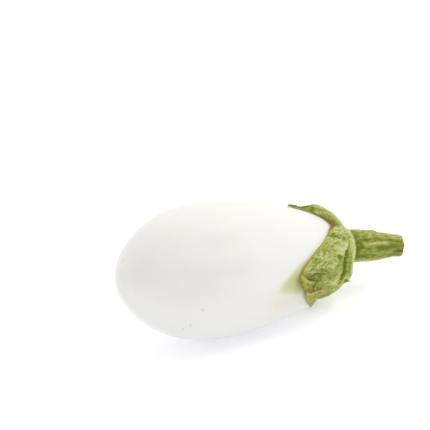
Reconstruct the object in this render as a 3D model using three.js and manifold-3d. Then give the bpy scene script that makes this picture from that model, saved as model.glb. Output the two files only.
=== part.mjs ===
// A white eggplant lying on its side, with the green calyx and stem it was picked with.
// Millimetres, +Z up. The origin is the middle of the small flat spot that the fruit rests on,
// and +X runs level from there toward the stem.

import * as THREE from 'three';
import { mergeVertices } from 'three/addons/utils/BufferGeometryUtils.js';
import Module from 'manifold-3d';

const wasm = await Module();
wasm.setup();

// Fruit: a body of revolution about its own axis, blunt at the blossom end
const HALF_LENGTH = 61.9;
const BODY_RADIUS = 33.9;
const BODY_SKEW = [-0.192, 0.082, 0.221];
const FRUIT_SIDES = 56;
const FRUIT_RINGS = 32;

// How it lies: the stem end droops, and the skin is pressed flat where it rests
const DROOP = THREE.MathUtils.degToRad(6);
const FLAT_DEPTH = 0.4;
const FLOOR_CUT = 20;

// Calyx: a leathery green cap over the stem end, whose sepals end in loose points
const CAP_GAP = 0.4;
const EDGE_THICKNESS = 0.9;
const BLADE_THICKNESS = 2.4;
const SHOULDER_THICKNESS = 5.2;
const THICKENING_REACH = 8;
const CROWN_POLAR = THREE.MathUtils.degToRad(11.8);
const CROWN_TO_STEM = 0.5;
const CURL_RADIUS = 1.8;
const COLUMN_STEP = 2.8;
const SEPAL_ROWS = 13;
const CURL_ROWS = 5;
const LINING_ROWS = 7;
const LINING_END = 0.06;

// Relief of the calyx: shoulders over the top and low on the near side, a crease beside the
// stem, and ribs, pleats and dimples counted once round
const TOP_SHOULDER = { turn: 350, spread: 50, rise: 1.8, waist: 1.6 };
const LOW_SHOULDER = { turn: 105, spread: 28, rise: 1.1, waist: 0.6 };
const CREASE = { turn: 85, spread: 34, depth: 1.3 };
const SEPALS = 5;
const PLEATS = 13;
const DIMPLES = 17;
const RIB_HEIGHT = 0.55;
const PLEAT_HEIGHT = 0.4;
const DIMPLE_HEIGHT = 0.35;

// The calyx's margin, once round the fruit: turn is the angle in degrees from the top toward
// the -Y side, along is how far up the fruit's axis it lies from the middle, curl is how far
// the edge rolls outward in degrees, and tail is the length of blade past the roll.
const MARGIN = [
  { turn: 16, along: 50.5, curl: 0, tail: 0, notch: true },
  { turn: 31, along: 46.5, curl: 0, tail: 0 },
  { turn: 46, along: 40, curl: 0, tail: 0 },
  { turn: 55, along: 34, curl: 0, tail: 0 },
  { turn: 62, along: 29, curl: 0, tail: 0 },
  { turn: 68, along: 25.4, curl: 25, tail: 0 },
  { turn: 74, along: 23.2, curl: 110, tail: 0.8 },
  { turn: 83, along: 23.4, curl: 165, tail: 2.6 },
  { turn: 93, along: 26.4, curl: 170, tail: 2.6 },
  { turn: 100, along: 28.8, curl: 140, tail: 1 },
  { turn: 106, along: 29.2, curl: 60, tail: 2 },
  { turn: 112, along: 31, curl: 45, tail: 2.4 },
  { turn: 116.5, along: 36, curl: 20, tail: 0.8 },
  { turn: 121, along: 42, curl: 0, tail: 0 },
  { turn: 129, along: 49, curl: 0, tail: 0 },
  { turn: 140, along: 53, curl: 0, tail: 0, notch: true },
  { turn: 152, along: 50, curl: 0, tail: 0 },
  { turn: 166, along: 45, curl: 0, tail: 0 },
  { turn: 182, along: 40, curl: 0, tail: 0 },
  { turn: 197, along: 35, curl: 15, tail: 0.6 },
  { turn: 209, along: 40, curl: 0, tail: 0 },
  { turn: 222, along: 47, curl: 0, tail: 0 },
  { turn: 236, along: 53, curl: 0, tail: 0, notch: true },
  { turn: 249, along: 48, curl: 0, tail: 0 },
  { turn: 261, along: 40, curl: 0, tail: 0 },
  { turn: 272, along: 34, curl: 10, tail: 0 },
  { turn: 281, along: 28, curl: 40, tail: 0.6 },
  { turn: 289, along: 25, curl: 95, tail: 2.4 },
  { turn: 298, along: 28.5, curl: 35, tail: 0 },
  { turn: 308, along: 34.5, curl: 0, tail: 0 },
  { turn: 319, along: 40, curl: 0, tail: 0 },
  { turn: 329, along: 41.5, curl: 0, tail: 0 },
  { turn: 338, along: 39, curl: 0, tail: 0 },
  { turn: 346, along: 34.5, curl: 0, tail: 0 },
  { turn: 352.5, along: 30.5, curl: 0, tail: 0 },
  { turn: 356.5, along: 33, curl: 0, tail: 0 },
  { turn: 358, along: 38.4, curl: 0, tail: 0 },
  { turn: 361, along: 43, curl: 0, tail: 0 },
  { turn: 365, along: 47.8, curl: 0, tail: 0 },
];

// Stem: woody and ribbed, wide at the calyx, bent a little toward the -Y side
const STEM_BASE = { along: 68.6, far: 1, above: 2 };
const STEM_LENGTH = 28.5;
const STEM_TURN = THREE.MathUtils.degToRad(-11.5);
const STEM_DROP = THREE.MathUtils.degToRad(8.5);
const STEM_RADII = [8.6, 8.2, 8, 7.6, 6.9, 6.2, 5.6, 5.2];
const STEM_RIBS = 5;
const STEM_RIB_HEIGHT = 0.35;
const STEM_RIM_BEVEL = 0.5;
const PITH_RADIUS = 3.4;
const PITH_DEPTH = 0.4;

// Prickles: turn and share of the way from the margin to the stem, or share up the stem
const PRICKLE_LENGTH = 3.4;
const PRICKLE_RADIUS = 0.9;
const PRICKLE_ROOT = 1.4;
const PRICKLE_SIDES = 5;
const PRICKLE_LEAN = 0.75;
const CALYX_PRICKLES = [[67, 0.5], [98, 0.63], [150, 0.6], [190, 0.45], [215, 0.7], [248, 0.6],
  [268, 0.45], [285, 0.68], [303, 0.35]];
const STEM_PRICKLES = [[103, 0.08], [185, 0.3], [235, 0.18], [290, 0.42]];

// The rolled tip of the nearest sepal: a short curled funnel lying on the blade
const FUNNEL = {
  turn: 89,
  along: 32.6,
  outer: 3,
  inner: 1.9,
  tail: { outer: 2.4, inner: 1 },
  length: 5.2,
  sunk: 2.4,
  lean: 0.35,
  lift: 0.45,
};
const FUNNEL_SIDES = 12;

const SKIN_WHITE = new THREE.MeshStandardMaterial({ color: 0xf6f4ee, roughness: 0.3, metalness: 0 });
const CALYX_GREEN = new THREE.MeshStandardMaterial({ color: 0xa5b469, roughness: 0.7, metalness: 0 });

const radians = THREE.MathUtils.degToRad;
const ALONG = new THREE.Vector3(Math.cos(DROOP), 0, -Math.sin(DROOP));
const ABOVE = new THREE.Vector3(Math.sin(DROOP), 0, Math.cos(DROOP));
const NEAR = new THREE.Vector3(0, -1, 0);
const MEAN_RADIUS = (HALF_LENGTH + BODY_RADIUS) / 2;

function bodyRadius(along) {
  const x = THREE.MathUtils.clamp(along / HALF_LENGTH, -1, 1);
  const [lean, swell, flare] = BODY_SKEW;
  return BODY_RADIUS * Math.sqrt(1 - x * x) * (1 + lean * x + swell * x * x + flare * x ** 3);
}

// The middle of the fruit stands over the lowest point of its tilted skin
function restingPlace() {
  let lowest = { depth: 0, along: 0 };
  for (let along = -HALF_LENGTH; along <= HALF_LENGTH; along += 0.1) {
    const depth = along * Math.sin(DROOP) + bodyRadius(along) * Math.cos(DROOP);
    if (depth > lowest.depth) lowest = { depth, along };
  }
  const forward = lowest.along * Math.cos(DROOP) - bodyRadius(lowest.along) * Math.sin(DROOP);
  return new THREE.Vector3(-forward, 0, lowest.depth - FLAT_DEPTH);
}

const MIDDLE = restingPlace();

function radial(turn) {
  return ABOVE.clone().multiplyScalar(Math.cos(turn)).addScaledVector(NEAR, Math.sin(turn));
}

// A point of the fruit's skin moved straight out by height; polar runs from 0 at the stem end
function onSkin(polar, turn, height) {
  const along = HALF_LENGTH * Math.cos(polar);
  const step = 0.002;
  const before = polar - step;
  const after = polar + step;
  const rise = (bodyRadius(HALF_LENGTH * Math.cos(after)) * Math.sign(after)
    - bodyRadius(HALF_LENGTH * Math.cos(before)) * Math.sign(before)) / (2 * step);
  const run = -HALF_LENGTH * Math.sin(polar);
  const size = Math.hypot(rise, run);
  const out = radial(turn).multiplyScalar(-run / size).addScaledVector(ALONG, rise / size);
  return MIDDLE.clone().addScaledVector(ALONG, along)
    .addScaledVector(radial(turn), bodyRadius(along)).addScaledVector(out, height);
}

const smooth = (low, high, value) => THREE.MathUtils.smoothstep(value, low, high);
const bump = (centre, width, value) => Math.exp(-(((value - centre) / width) ** 2));

function wrapped(turn, centre) {
  return ((turn - centre + 540) % 360) - 180;
}

// A closed mesh as a solid that can be joined and cut
function toManifold(geometry) {
  geometry.deleteAttribute('normal');
  geometry.deleteAttribute('uv');
  const merged = mergeVertices(geometry, 1e-4);
  const triangles = [];
  const index = merged.index.array;
  for (let i = 0; i < index.length; i += 3) {
    const [a, b, c] = [index[i], index[i + 1], index[i + 2]];
    if (a !== b && b !== c && c !== a) triangles.push(a, b, c);
  }
  return new wasm.Manifold(new wasm.Mesh({
    numProp: 3,
    vertProperties: new Float32Array(merged.attributes.position.array),
    triVerts: new Uint32Array(triangles),
  }));
}

function toGeometry(solid) {
  const mesh = solid.getMesh();
  const geometry = new THREE.BufferGeometry();
  geometry.setAttribute('position', new THREE.BufferAttribute(new Float32Array(mesh.vertProperties), 3));
  geometry.setIndex(new THREE.BufferAttribute(new Uint32Array(mesh.triVerts), 1));
  geometry.computeVertexNormals();
  return geometry;
}

// A closed skin over rings of points, with one point capping each end
function skinOver(rings, firstCap, lastCap) {
  const count = rings[0].length;
  const points = [firstCap, ...rings.flat(), lastCap];
  const last = points.length - 1;
  const at = (ring, column) => 1 + ring * count + (column % count);
  const index = [];
  for (let column = 0; column < count; column += 1) {
    index.push(0, at(0, column), at(0, column + 1));
    for (let ring = 0; ring + 1 < rings.length; ring += 1) {
      const [a, b] = [at(ring, column), at(ring, column + 1)];
      const [c, d] = [at(ring + 1, column), at(ring + 1, column + 1)];
      index.push(a, d, b, a, c, d);
    }
    index.push(last, at(rings.length - 1, column + 1), at(rings.length - 1, column));
  }
  const geometry = new THREE.BufferGeometry();
  const positions = points.flatMap((point) => point.toArray());
  geometry.setAttribute('position', new THREE.Float32BufferAttribute(positions, 3));
  geometry.setIndex(index);
  return geometry;
}

// Fruit
function makeFruit() {
  const outline = [];
  for (let i = 0; i <= FRUIT_RINGS; i += 1) {
    const along = -HALF_LENGTH * Math.cos((Math.PI * i) / FRUIT_RINGS);
    const onAxis = i === 0 || i === FRUIT_RINGS;
    outline.push(new THREE.Vector2(onAxis ? 0 : bodyRadius(along), along));
  }
  const body = new THREE.LatheGeometry(outline, FRUIT_SIDES);
  body.applyQuaternion(new THREE.Quaternion().setFromUnitVectors(new THREE.Vector3(0, 1, 0), ALONG));
  body.translate(...MIDDLE.toArray());
  const floor = new THREE.BoxGeometry(3 * HALF_LENGTH, 3 * BODY_RADIUS, FLOOR_CUT);
  floor.translate(0, 0, -FLOOR_CUT / 2);
  return toManifold(body).subtract(toManifold(floor));
}

// Margin of the calyx
function blend(key, near, share) {
  const [p0, p1, p2, p3] = near.map((point) => point[key]);
  const square = share * share;
  const cube = square * share;
  return 0.5 * (2 * p1 + (p2 - p0) * share + (2 * p0 - 5 * p1 + 4 * p2 - p3) * square
    + (3 * p1 - p0 - 3 * p2 + p3) * cube);
}

function neighbours(i) {
  return [i - 1, i, i + 1, i + 2].map((k) => {
    const point = MARGIN[(k + MARGIN.length) % MARGIN.length];
    const laps = Math.floor(k / MARGIN.length);
    return { ...point, turn: point.turn + 360 * laps };
  });
}

function marginColumns() {
  const columns = [];
  for (let i = 0; i < MARGIN.length; i += 1) {
    const near = neighbours(i);
    const [, from, to] = near;
    const across = radians(to.turn - from.turn) * bodyRadius((from.along + to.along) / 2);
    const length = Math.hypot(across, to.along - from.along);
    const steps = Math.max(1, Math.round(length / COLUMN_STEP));
    for (let k = 0; k < steps; k += 1) {
      const share = k / steps;
      const column = { notch: k === 0 && from.notch === true, step: length / steps };
      for (const key of ['turn', 'along']) column[key] = blend(key, near, share);
      for (const key of ['curl', 'tail']) column[key] = THREE.MathUtils.lerp(from[key], to[key], share);
      columns.push(column);
    }
  }
  spreadAtCrown(columns);
  return columns;
}

// At the crown the columns stand evenly between the notches, so they fan out into each sepal
function spreadAtCrown(columns) {
  const notches = columns.map((column, i) => (column.notch ? i : -1)).filter((i) => i >= 0);
  notches.forEach((start, n) => {
    const end = n + 1 < notches.length ? notches[n + 1] : columns.length + notches[0];
    const lap = end >= columns.length ? 360 : 0;
    const span = columns[end % columns.length].turn + lap - columns[start].turn;
    const total = columns.slice(start, end).reduce((sum, column) => sum + column.step, 0);
    let walked = 0;
    for (let i = start; i < end; i += 1) {
      columns[i].crown = columns[start].turn + (span * walked) / total;
      walked += columns[i].step;
    }
  });
}

// Relief of the calyx over the fruit's skin: share runs from the margin to the stem, and reach is
// that whole way in millimetres
function shoulderHeight(turn, share) {
  const top = bump(0, TOP_SHOULDER.spread, wrapped(turn, TOP_SHOULDER.turn));
  const low = bump(0, LOW_SHOULDER.spread, wrapped(turn, LOW_SHOULDER.turn));
  return top * (TOP_SHOULDER.rise * bump(0.42, 0.2, share) - TOP_SHOULDER.waist * bump(0.76, 0.14, share))
    + low * (LOW_SHOULDER.rise * bump(0.6, 0.2, share) - LOW_SHOULDER.waist * bump(0.95, 0.08, share));
}

function wrinkleHeight(turn, share) {
  const rib = Math.cos(radians(turn * SEPALS - 40)) * smooth(0.1, 0.5, share);
  const pleat = Math.sin(radians(turn * PLEATS + 90 * Math.sin(4 * share))) * smooth(0.05, 0.3, share);
  const dimple = Math.sin(radians(turn * DIMPLES + 40)) * Math.sin(15 * share + radians(turn * 3));
  return (RIB_HEIGHT * rib + PLEAT_HEIGHT * pleat + DIMPLE_HEIGHT * dimple * smooth(0, 0.15, share))
    * (1 - smooth(0.85, 1, share));
}

function capHeight(turn, share, reach) {
  const thickening = 1 - Math.exp((-share * reach) / THICKENING_REACH);
  const blade = THREE.MathUtils.lerp(EDGE_THICKNESS, BLADE_THICKNESS, thickening);
  const crown = (SHOULDER_THICKNESS - BLADE_THICKNESS) * smooth(0.45, 0.9, share);
  const besideStem = bump(0, CREASE.spread, wrapped(turn, CREASE.turn)) * bump(0.72, 0.07, share);
  return CAP_GAP + blade + crown + shoulderHeight(turn, share) + wrinkleHeight(turn, share)
    - CREASE.depth * besideStem;
}

// Stem
const STEM_DIRECTION = new THREE.Vector3(
  Math.cos(STEM_DROP) * Math.cos(STEM_TURN),
  Math.cos(STEM_DROP) * Math.sin(STEM_TURN),
  -Math.sin(STEM_DROP),
);
const STEM_FOOT = MIDDLE.clone().addScaledVector(ALONG, STEM_BASE.along)
  .addScaledVector(NEAR, -STEM_BASE.far).addScaledVector(ABOVE, STEM_BASE.above);

function stemPoint(share, turnDegrees, radius) {
  const heading = ALONG.clone().lerp(STEM_DIRECTION, smooth(-0.3, 0.35, share)).normalize();
  const across = NEAR.clone().addScaledVector(heading, -NEAR.dot(heading)).normalize();
  const up = new THREE.Vector3().crossVectors(heading, across).negate();
  const turn = radians(turnDegrees);
  return STEM_FOOT.clone().addScaledVector(STEM_DIRECTION, share * STEM_LENGTH)
    .addScaledVector(up, radius * Math.cos(turn)).addScaledVector(across, radius * Math.sin(turn));
}

function stemRadius(share, turnDegrees) {
  const place = share * (STEM_RADII.length - 1);
  const i = Math.min(Math.floor(place), STEM_RADII.length - 2);
  const radius = THREE.MathUtils.lerp(STEM_RADII[i], STEM_RADII[i + 1], place - i);
  const rib = Math.cos(radians(turnDegrees * STEM_RIBS + 50 * share));
  const knots = Math.sin(9 * share + radians(turnDegrees * 2)) * Math.sin(radians(turnDegrees * 3 + 60));
  return radius + STEM_RIB_HEIGHT * (rib + 0.5 * knots) * smooth(0, 0.2, share);
}

// Calyx and stem as one grown body: rings run from the cut end down to the margin and back inside
function sepalPoint(column, share) {
  const edgePolar = Math.acos(column.along / HALF_LENGTH);
  const polar = THREE.MathUtils.lerp(edgePolar, CROWN_POLAR, share);
  const reach = (edgePolar - CROWN_POLAR) * MEAN_RADIUS;
  const turn = THREE.MathUtils.lerp(column.turn, column.crown, share);
  const skin = onSkin(polar, radians(turn), capHeight(turn, share, reach));
  const foot = stemPoint(0, column.crown, stemRadius(0, column.crown));
  return skin.lerp(foot, smooth(0.82, 1, share) * CROWN_TO_STEM);
}

function liningPoint(column, share) {
  const edgePolar = Math.acos(column.along / HALF_LENGTH);
  const polar = THREE.MathUtils.lerp(edgePolar, LINING_END, share);
  const turn = THREE.MathUtils.lerp(column.turn, column.crown, share);
  return onSkin(polar, radians(turn), CAP_GAP);
}

// The edge rolls outward about a line along the margin, then runs on straight as the tail
function curlFrame(columns, i) {
  const count = columns.length;
  const edge = (column, height) => {
    const polar = Math.acos(column.along / HALF_LENGTH);
    return onSkin(polar, radians(column.turn), height);
  };
  const here = edge(columns[i], CAP_GAP);
  const ahead = edge(columns[(i + 1) % count], CAP_GAP);
  const behind = edge(columns[(i + count - 1) % count], CAP_GAP);
  const outward = edge(columns[i], CAP_GAP + 1).sub(here);
  const onward = new THREE.Vector3().crossVectors(ahead.sub(behind), outward).normalize();
  return { here, outward, onward };
}

function curledPoint(column, frame, share, lift) {
  const angle = radians(column.curl);
  const arc = CURL_RADIUS * angle;
  const walked = share * (arc + column.tail);
  const turned = Math.min(walked, arc) / CURL_RADIUS;
  const past = Math.max(walked - arc, 0);
  const radius = CURL_RADIUS - lift;
  return frame.here.clone()
    .addScaledVector(frame.onward, radius * Math.sin(turned) + past * Math.cos(turned))
    .addScaledVector(frame.outward, CURL_RADIUS - radius * Math.cos(turned) + past * Math.sin(turned));
}

function makeCap() {
  const columns = marginColumns();
  const rings = [];
  const ring = (place) => rings.push(columns.map(place));
  ring((column) => stemPoint(1 - PITH_DEPTH / STEM_LENGTH, column.crown, PITH_RADIUS * 0.5));
  ring((column) => stemPoint(1 - PITH_DEPTH / STEM_LENGTH, column.crown, PITH_RADIUS));
  ring((column) => stemPoint(1, column.crown, stemRadius(1, column.crown) - STEM_RIM_BEVEL));
  const stemRings = STEM_RADII.length - 1;
  for (let i = stemRings; i >= 0; i -= 1) {
    const share = Math.min(i / stemRings, 1 - STEM_RIM_BEVEL / STEM_LENGTH);
    ring((column) => stemPoint(share, column.crown, stemRadius(share, column.crown)));
  }
  for (let i = SEPAL_ROWS; i >= 0; i -= 1) ring((column) => sepalPoint(column, i / SEPAL_ROWS));
  const frames = columns.map((_, i) => curlFrame(columns, i));
  for (let i = 1; i <= CURL_ROWS; i += 1) {
    ring((column, k) => curledPoint(column, frames[k], i / CURL_ROWS, EDGE_THICKNESS));
  }
  for (let i = CURL_ROWS; i >= 1; i -= 1) {
    ring((column, k) => curledPoint(column, frames[k], i / CURL_ROWS, 0));
  }
  for (let i = 0; i <= LINING_ROWS; i += 1) ring((column) => liningPoint(column, i / LINING_ROWS));
  const cutMiddle = stemPoint(1 - PITH_DEPTH / STEM_LENGTH, 0, 0);
  return toManifold(skinOver(rings, cutMiddle, onSkin(0.0001, 0, CAP_GAP)));
}

function prickleAt(root, direction) {
  const cone = new THREE.ConeGeometry(PRICKLE_RADIUS, PRICKLE_LENGTH + PRICKLE_ROOT, PRICKLE_SIDES);
  cone.translate(0, (PRICKLE_LENGTH + PRICKLE_ROOT) / 2 - PRICKLE_ROOT, 0);
  cone.applyQuaternion(new THREE.Quaternion().setFromUnitVectors(new THREE.Vector3(0, 1, 0), direction));
  cone.translate(...root.toArray());
  return toManifold(cone);
}

function makePrickles(columns) {
  const onCalyx = CALYX_PRICKLES.map(([turn, share]) => {
    const column = columns.reduce((best, other) => (
      Math.abs(wrapped(other.crown, turn)) < Math.abs(wrapped(best.crown, turn)) ? other : best));
    const root = sepalPoint(column, share);
    const outward = radial(radians(column.turn)).addScaledVector(ALONG, PRICKLE_LEAN).normalize();
    return prickleAt(root, outward);
  });
  const onStem = STEM_PRICKLES.map(([turn, share]) => {
    const root = stemPoint(share, turn, stemRadius(share, turn));
    const outward = root.clone().sub(stemPoint(share, 0, 0)).normalize();
    return prickleAt(root, outward.addScaledVector(STEM_DIRECTION, PRICKLE_LEAN).normalize());
  });
  return [...onCalyx, ...onStem];
}

// A short cone with a thick wall, open toward -Y and a little upward
function makeFunnel() {
  const { turn, along, outer, inner, tail, length, sunk } = FUNNEL;
  const wall = [
    new THREE.Vector2(tail.inner, -length / 2),
    new THREE.Vector2(tail.outer, -length / 2),
    new THREE.Vector2(outer, length / 2),
    new THREE.Vector2(inner, length / 2),
    new THREE.Vector2(tail.inner, -length / 2),
  ];
  const funnel = new THREE.LatheGeometry(wall, FUNNEL_SIDES);
  const mouth = radial(radians(turn)).addScaledVector(ALONG, -FUNNEL.lean);
  mouth.addScaledVector(ABOVE, FUNNEL.lift).normalize();
  const upright = new THREE.Vector3(0, 1, 0);
  funnel.applyQuaternion(new THREE.Quaternion().setFromUnitVectors(upright, mouth));
  funnel.translate(...onSkin(Math.acos(along / HALF_LENGTH), radians(turn), sunk + outer / 2).toArray());
  return toManifold(funnel);
}

function makeCalyxAndStem() {
  const columns = marginColumns();
  let body = makeCap();
  for (const prickle of makePrickles(columns)) body = body.add(prickle);
  return body.add(makeFunnel());
}

function named(name, solid, material) {
  const mesh = new THREE.Mesh(toGeometry(solid), material);
  mesh.name = name;
  return mesh;
}

const eggplant = new THREE.Group();
eggplant.add(named('fruit', makeFruit(), SKIN_WHITE));
eggplant.add(named('calyx_and_stem', makeCalyxAndStem(), CALYX_GREEN));

export default eggplant;
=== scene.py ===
"""The look of a white eggplant lying on its side with its green calyx and stem.

The fruit and the calyx are rebuilt as fine meshes from the same driving sizes as the solids in the
frame, dressed with procedural finishes, and lit on a plain white floor by soft studio light.
"""
import logging
from dataclasses import dataclass
from enum import Enum
from math import acos, cos, pi, radians, sin, sqrt

import bpy
import numpy as np
from mathutils import Matrix, Vector, noise


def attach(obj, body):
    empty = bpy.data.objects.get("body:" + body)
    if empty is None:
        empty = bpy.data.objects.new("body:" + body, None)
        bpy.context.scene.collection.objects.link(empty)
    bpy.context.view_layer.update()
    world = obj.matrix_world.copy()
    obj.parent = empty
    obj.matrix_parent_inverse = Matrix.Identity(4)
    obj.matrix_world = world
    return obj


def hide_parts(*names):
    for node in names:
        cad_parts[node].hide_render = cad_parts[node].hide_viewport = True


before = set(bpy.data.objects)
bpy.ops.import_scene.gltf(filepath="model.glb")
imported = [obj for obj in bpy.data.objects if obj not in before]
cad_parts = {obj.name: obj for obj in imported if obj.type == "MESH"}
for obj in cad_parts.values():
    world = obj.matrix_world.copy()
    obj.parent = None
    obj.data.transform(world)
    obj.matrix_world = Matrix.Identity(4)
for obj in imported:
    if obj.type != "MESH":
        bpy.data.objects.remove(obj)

LOG = logging.getLogger("eggplant")
MM = 0.001
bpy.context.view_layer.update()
# Arrays of rings by columns, lists of points or plain rows of values.
Rings = np.ndarray
Colour = tuple[float, float, float]
Line = tuple[tuple[float, float], ...]


class Node(Enum):
    """The solids of the frame that the fine meshes stand for."""

    FRUIT = "fruit"
    CALYX = "calyx_and_stem"


class Mask(Enum):
    """The surface attributes that the finishes read, each from 0 to 1."""

    EDGE = "dried_edge"
    LINING = "lining"
    HOLLOW = "hollow"
    VEIN = "vein"
    STEM = "stem"
    CUT = "cut_face"
    STRAW = "straw"
    SCAR = "scar"
    TINGE = "green_tinge"
    WARM = "warm_patch"
    YOUNG = "young_green"
    DULL = "dull_belly"


def smooth(low: float, high: float, value: Rings) -> Rings:
    """Ease from 0 at low to 1 at high.

    Args:
        low: Where the rise starts.
        high: Where the rise ends.
        value: The values to ease.

    Returns:
        The eased values.
    """
    share = np.clip((value - low) / (high - low), 0.0, 1.0)
    return share * share * (3.0 - 2.0 * share)


def bump(centre: float, width: float, value: Rings) -> Rings:
    """A bell curve of height 1.

    Args:
        centre: Where the bell stands.
        width: How far out it falls to about a third.
        value: The values to read it at.

    Returns:
        The height of the bell at each value.
    """
    return np.exp(-(((value - centre) / width) ** 2))


def wrapped(turn: Rings, centre: float) -> Rings:
    """Degrees from centre, between -180 and 180.

    Args:
        turn: Angles in degrees.
        centre: The angle to measure from, in degrees.

    Returns:
        The signed differences in degrees.
    """
    return (turn - centre + 540.0) % 360.0 - 180.0


def around(turn: Rings, middle: float, width: float) -> Rings:
    """A bell curve of height 1 round a place on the turn.

    Args:
        turn: Angles in degrees.
        middle: Where the bell stands, in degrees.
        width: How far out it falls to about a third, in degrees.

    Returns:
        The height of the bell at each angle.
    """
    return bump(0.0, width, wrapped(turn, middle))


def between(value: Rings, rise: tuple[float, float], fall: tuple[float, float]) -> Rings:
    """1 between two places, with an eased start and end.

    Args:
        value: The values to read it at.
        rise: Where it leaves 0 and where it reaches 1.
        fall: Where it leaves 1 and where it is 0 again.

    Returns:
        The eased values.
    """
    return smooth(*rise, value) * (1 - smooth(*fall, value))


def follow(line: Line, value: Rings, outside: float | None = None) -> Rings:
    """The height of a line of straight stretches.

    Args:
        line: Pairs of place and height.
        value: The places to read it at.
        outside: The height past both ends, or None to keep the ends' own.

    Returns:
        The heights.
    """
    places, heights = zip(*line)
    return np.interp(value, places, heights, left=outside, right=outside)


def through(points: Rings | tuple[Rings, ...], share: Rings) -> Rings:
    """A smooth curve through the middle two of four places.

    Args:
        points: Four places in a row.
        share: How far it is from the second to the third.

    Returns:
        The place there.
    """
    before, start, end, after = points
    return 0.5 * (2 * start + (end - before) * share
                  + (2 * before - 5 * start + 4 * end - after) * share ** 2
                  + (3 * start - before - 3 * end + after) * share ** 3)


def grain(points: Rings, seed: float) -> Rings:
    """Smooth noise between about -1 and 1.

    Args:
        points: Places, as an array whose last axis is x, y, z in noise cells.
        seed: An offset that makes one field unlike another.

    Returns:
        The noise, shaped as points without the last axis.
    """
    flat = (points.reshape(-1, 3) + seed).tolist()
    values = [noise.noise(place) for place in flat]
    return np.array(values).reshape(points.shape[:-1])


def ridged(points: Rings, seed: float, sharpness: float) -> Rings:
    """Noise with long sharp crests of height 1.

    Args:
        points: Places, as an array whose last axis is x, y, z in noise cells.
        seed: An offset that makes one field unlike another.
        sharpness: How steeply it falls from the crests.

    Returns:
        The noise, shaped as points without the last axis.
    """
    return 1.0 - sharpness * np.abs(grain(points, seed))


def cells(points: Rings, seed: float) -> Rings:
    """How far each place is from the border of its irregular cell.

    Args:
        points: Places, as an array whose last axis is x, y, z in cells.
        seed: An offset that makes one field unlike another.

    Returns:
        0 on a border, rising to about 1 in the middle of a cell.
    """
    values = []
    for place in (points.reshape(-1, 3) + seed).tolist():
        near = noise.voronoi(place)[0]
        values.append(near[1] - near[0])
    return np.array(values).reshape(points.shape[:-1])


# The attributes that every part of the calyx carries, so that they survive when the parts are joined.
CALYX_MASKS = (Mask.EDGE, Mask.LINING, Mask.HOLLOW, Mask.VEIN, Mask.STEM, Mask.CUT, Mask.STRAW, Mask.YOUNG)


@dataclass(frozen=True)
class FruitShape:
    """The fruit as a body of revolution about its own drooping axis, in millimetres."""

    half_length: float = 61.9
    radius: float = 33.9
    skew: tuple[float, float, float] = (-0.192, 0.082, 0.221)
    droop: float = radians(6)
    flat_depth: float = 0.4

    @property
    def along(self) -> np.ndarray:
        """The direction of the axis, toward the stem."""
        return np.array([cos(self.droop), 0.0, -sin(self.droop)])

    @property
    def above(self) -> np.ndarray:
        """Square to the axis, upward."""
        return np.array([sin(self.droop), 0.0, cos(self.droop)])

    @property
    def near(self) -> np.ndarray:
        """Square to the axis, toward -Y."""
        return np.array([0.0, -1.0, 0.0])

    def radius_at(self, along: Rings) -> Rings:
        """The fruit's radius at places on its axis.

        Args:
            along: Millimetres from the fruit's middle toward the stem.

        Returns:
            The radii in millimetres.
        """
        x = np.clip(along / self.half_length, -1.0, 1.0)
        lean, swell, flare = self.skew
        return self.radius * np.sqrt(1 - x * x) * (1 + lean * x + swell * x * x + flare * x ** 3)

    def middle(self) -> np.ndarray:
        """Where the fruit's middle stands when its lowest skin is pressed flat at the origin."""
        along = np.linspace(-self.half_length, self.half_length, 2001)
        depth = along * sin(self.droop) + self.radius_at(along) * cos(self.droop)
        low = int(depth.argmax())
        forward = along[low] * cos(self.droop) - self.radius_at(along[low]) * sin(self.droop)
        return np.array([-forward, 0.0, depth[low] - self.flat_depth])

    def radial(self, turn: Rings) -> Rings:
        """The outward direction square to the axis.

        Args:
            turn: Degrees from the top toward -Y.

        Returns:
            Unit vectors.
        """
        angle = np.radians(turn)[..., None]
        return np.cos(angle) * self.above + np.sin(angle) * self.near

    def on_skin(self, polar: Rings, turn: Rings, height: Rings) -> Rings:
        """Places on the skin, moved straight out.

        Args:
            polar: Angle along the fruit in radians, 0 at the stem end and pi at the blossom end.
            turn: Degrees from the top toward -Y.
            height: Millimetres outward.

        Returns:
            Points in millimetres.
        """
        step = 0.002
        polar, turn, height = np.broadcast_arrays(polar, turn, height)
        ends = [polar - step, polar + step]
        radii = [self.radius_at(self.half_length * np.cos(end)) * np.sign(end) for end in ends]
        rise = (radii[1] - radii[0]) / (2 * step)
        run = -self.half_length * np.sin(polar)
        size = np.hypot(rise, run)
        radial = self.radial(turn)
        along = self.half_length * np.cos(polar)
        out = radial * (-run / size)[..., None] + self.along * (rise / size)[..., None]
        place = self.middle() + self.along * along[..., None] + radial * self.radius_at(along)[..., None]
        return place + out * height[..., None]


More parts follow.
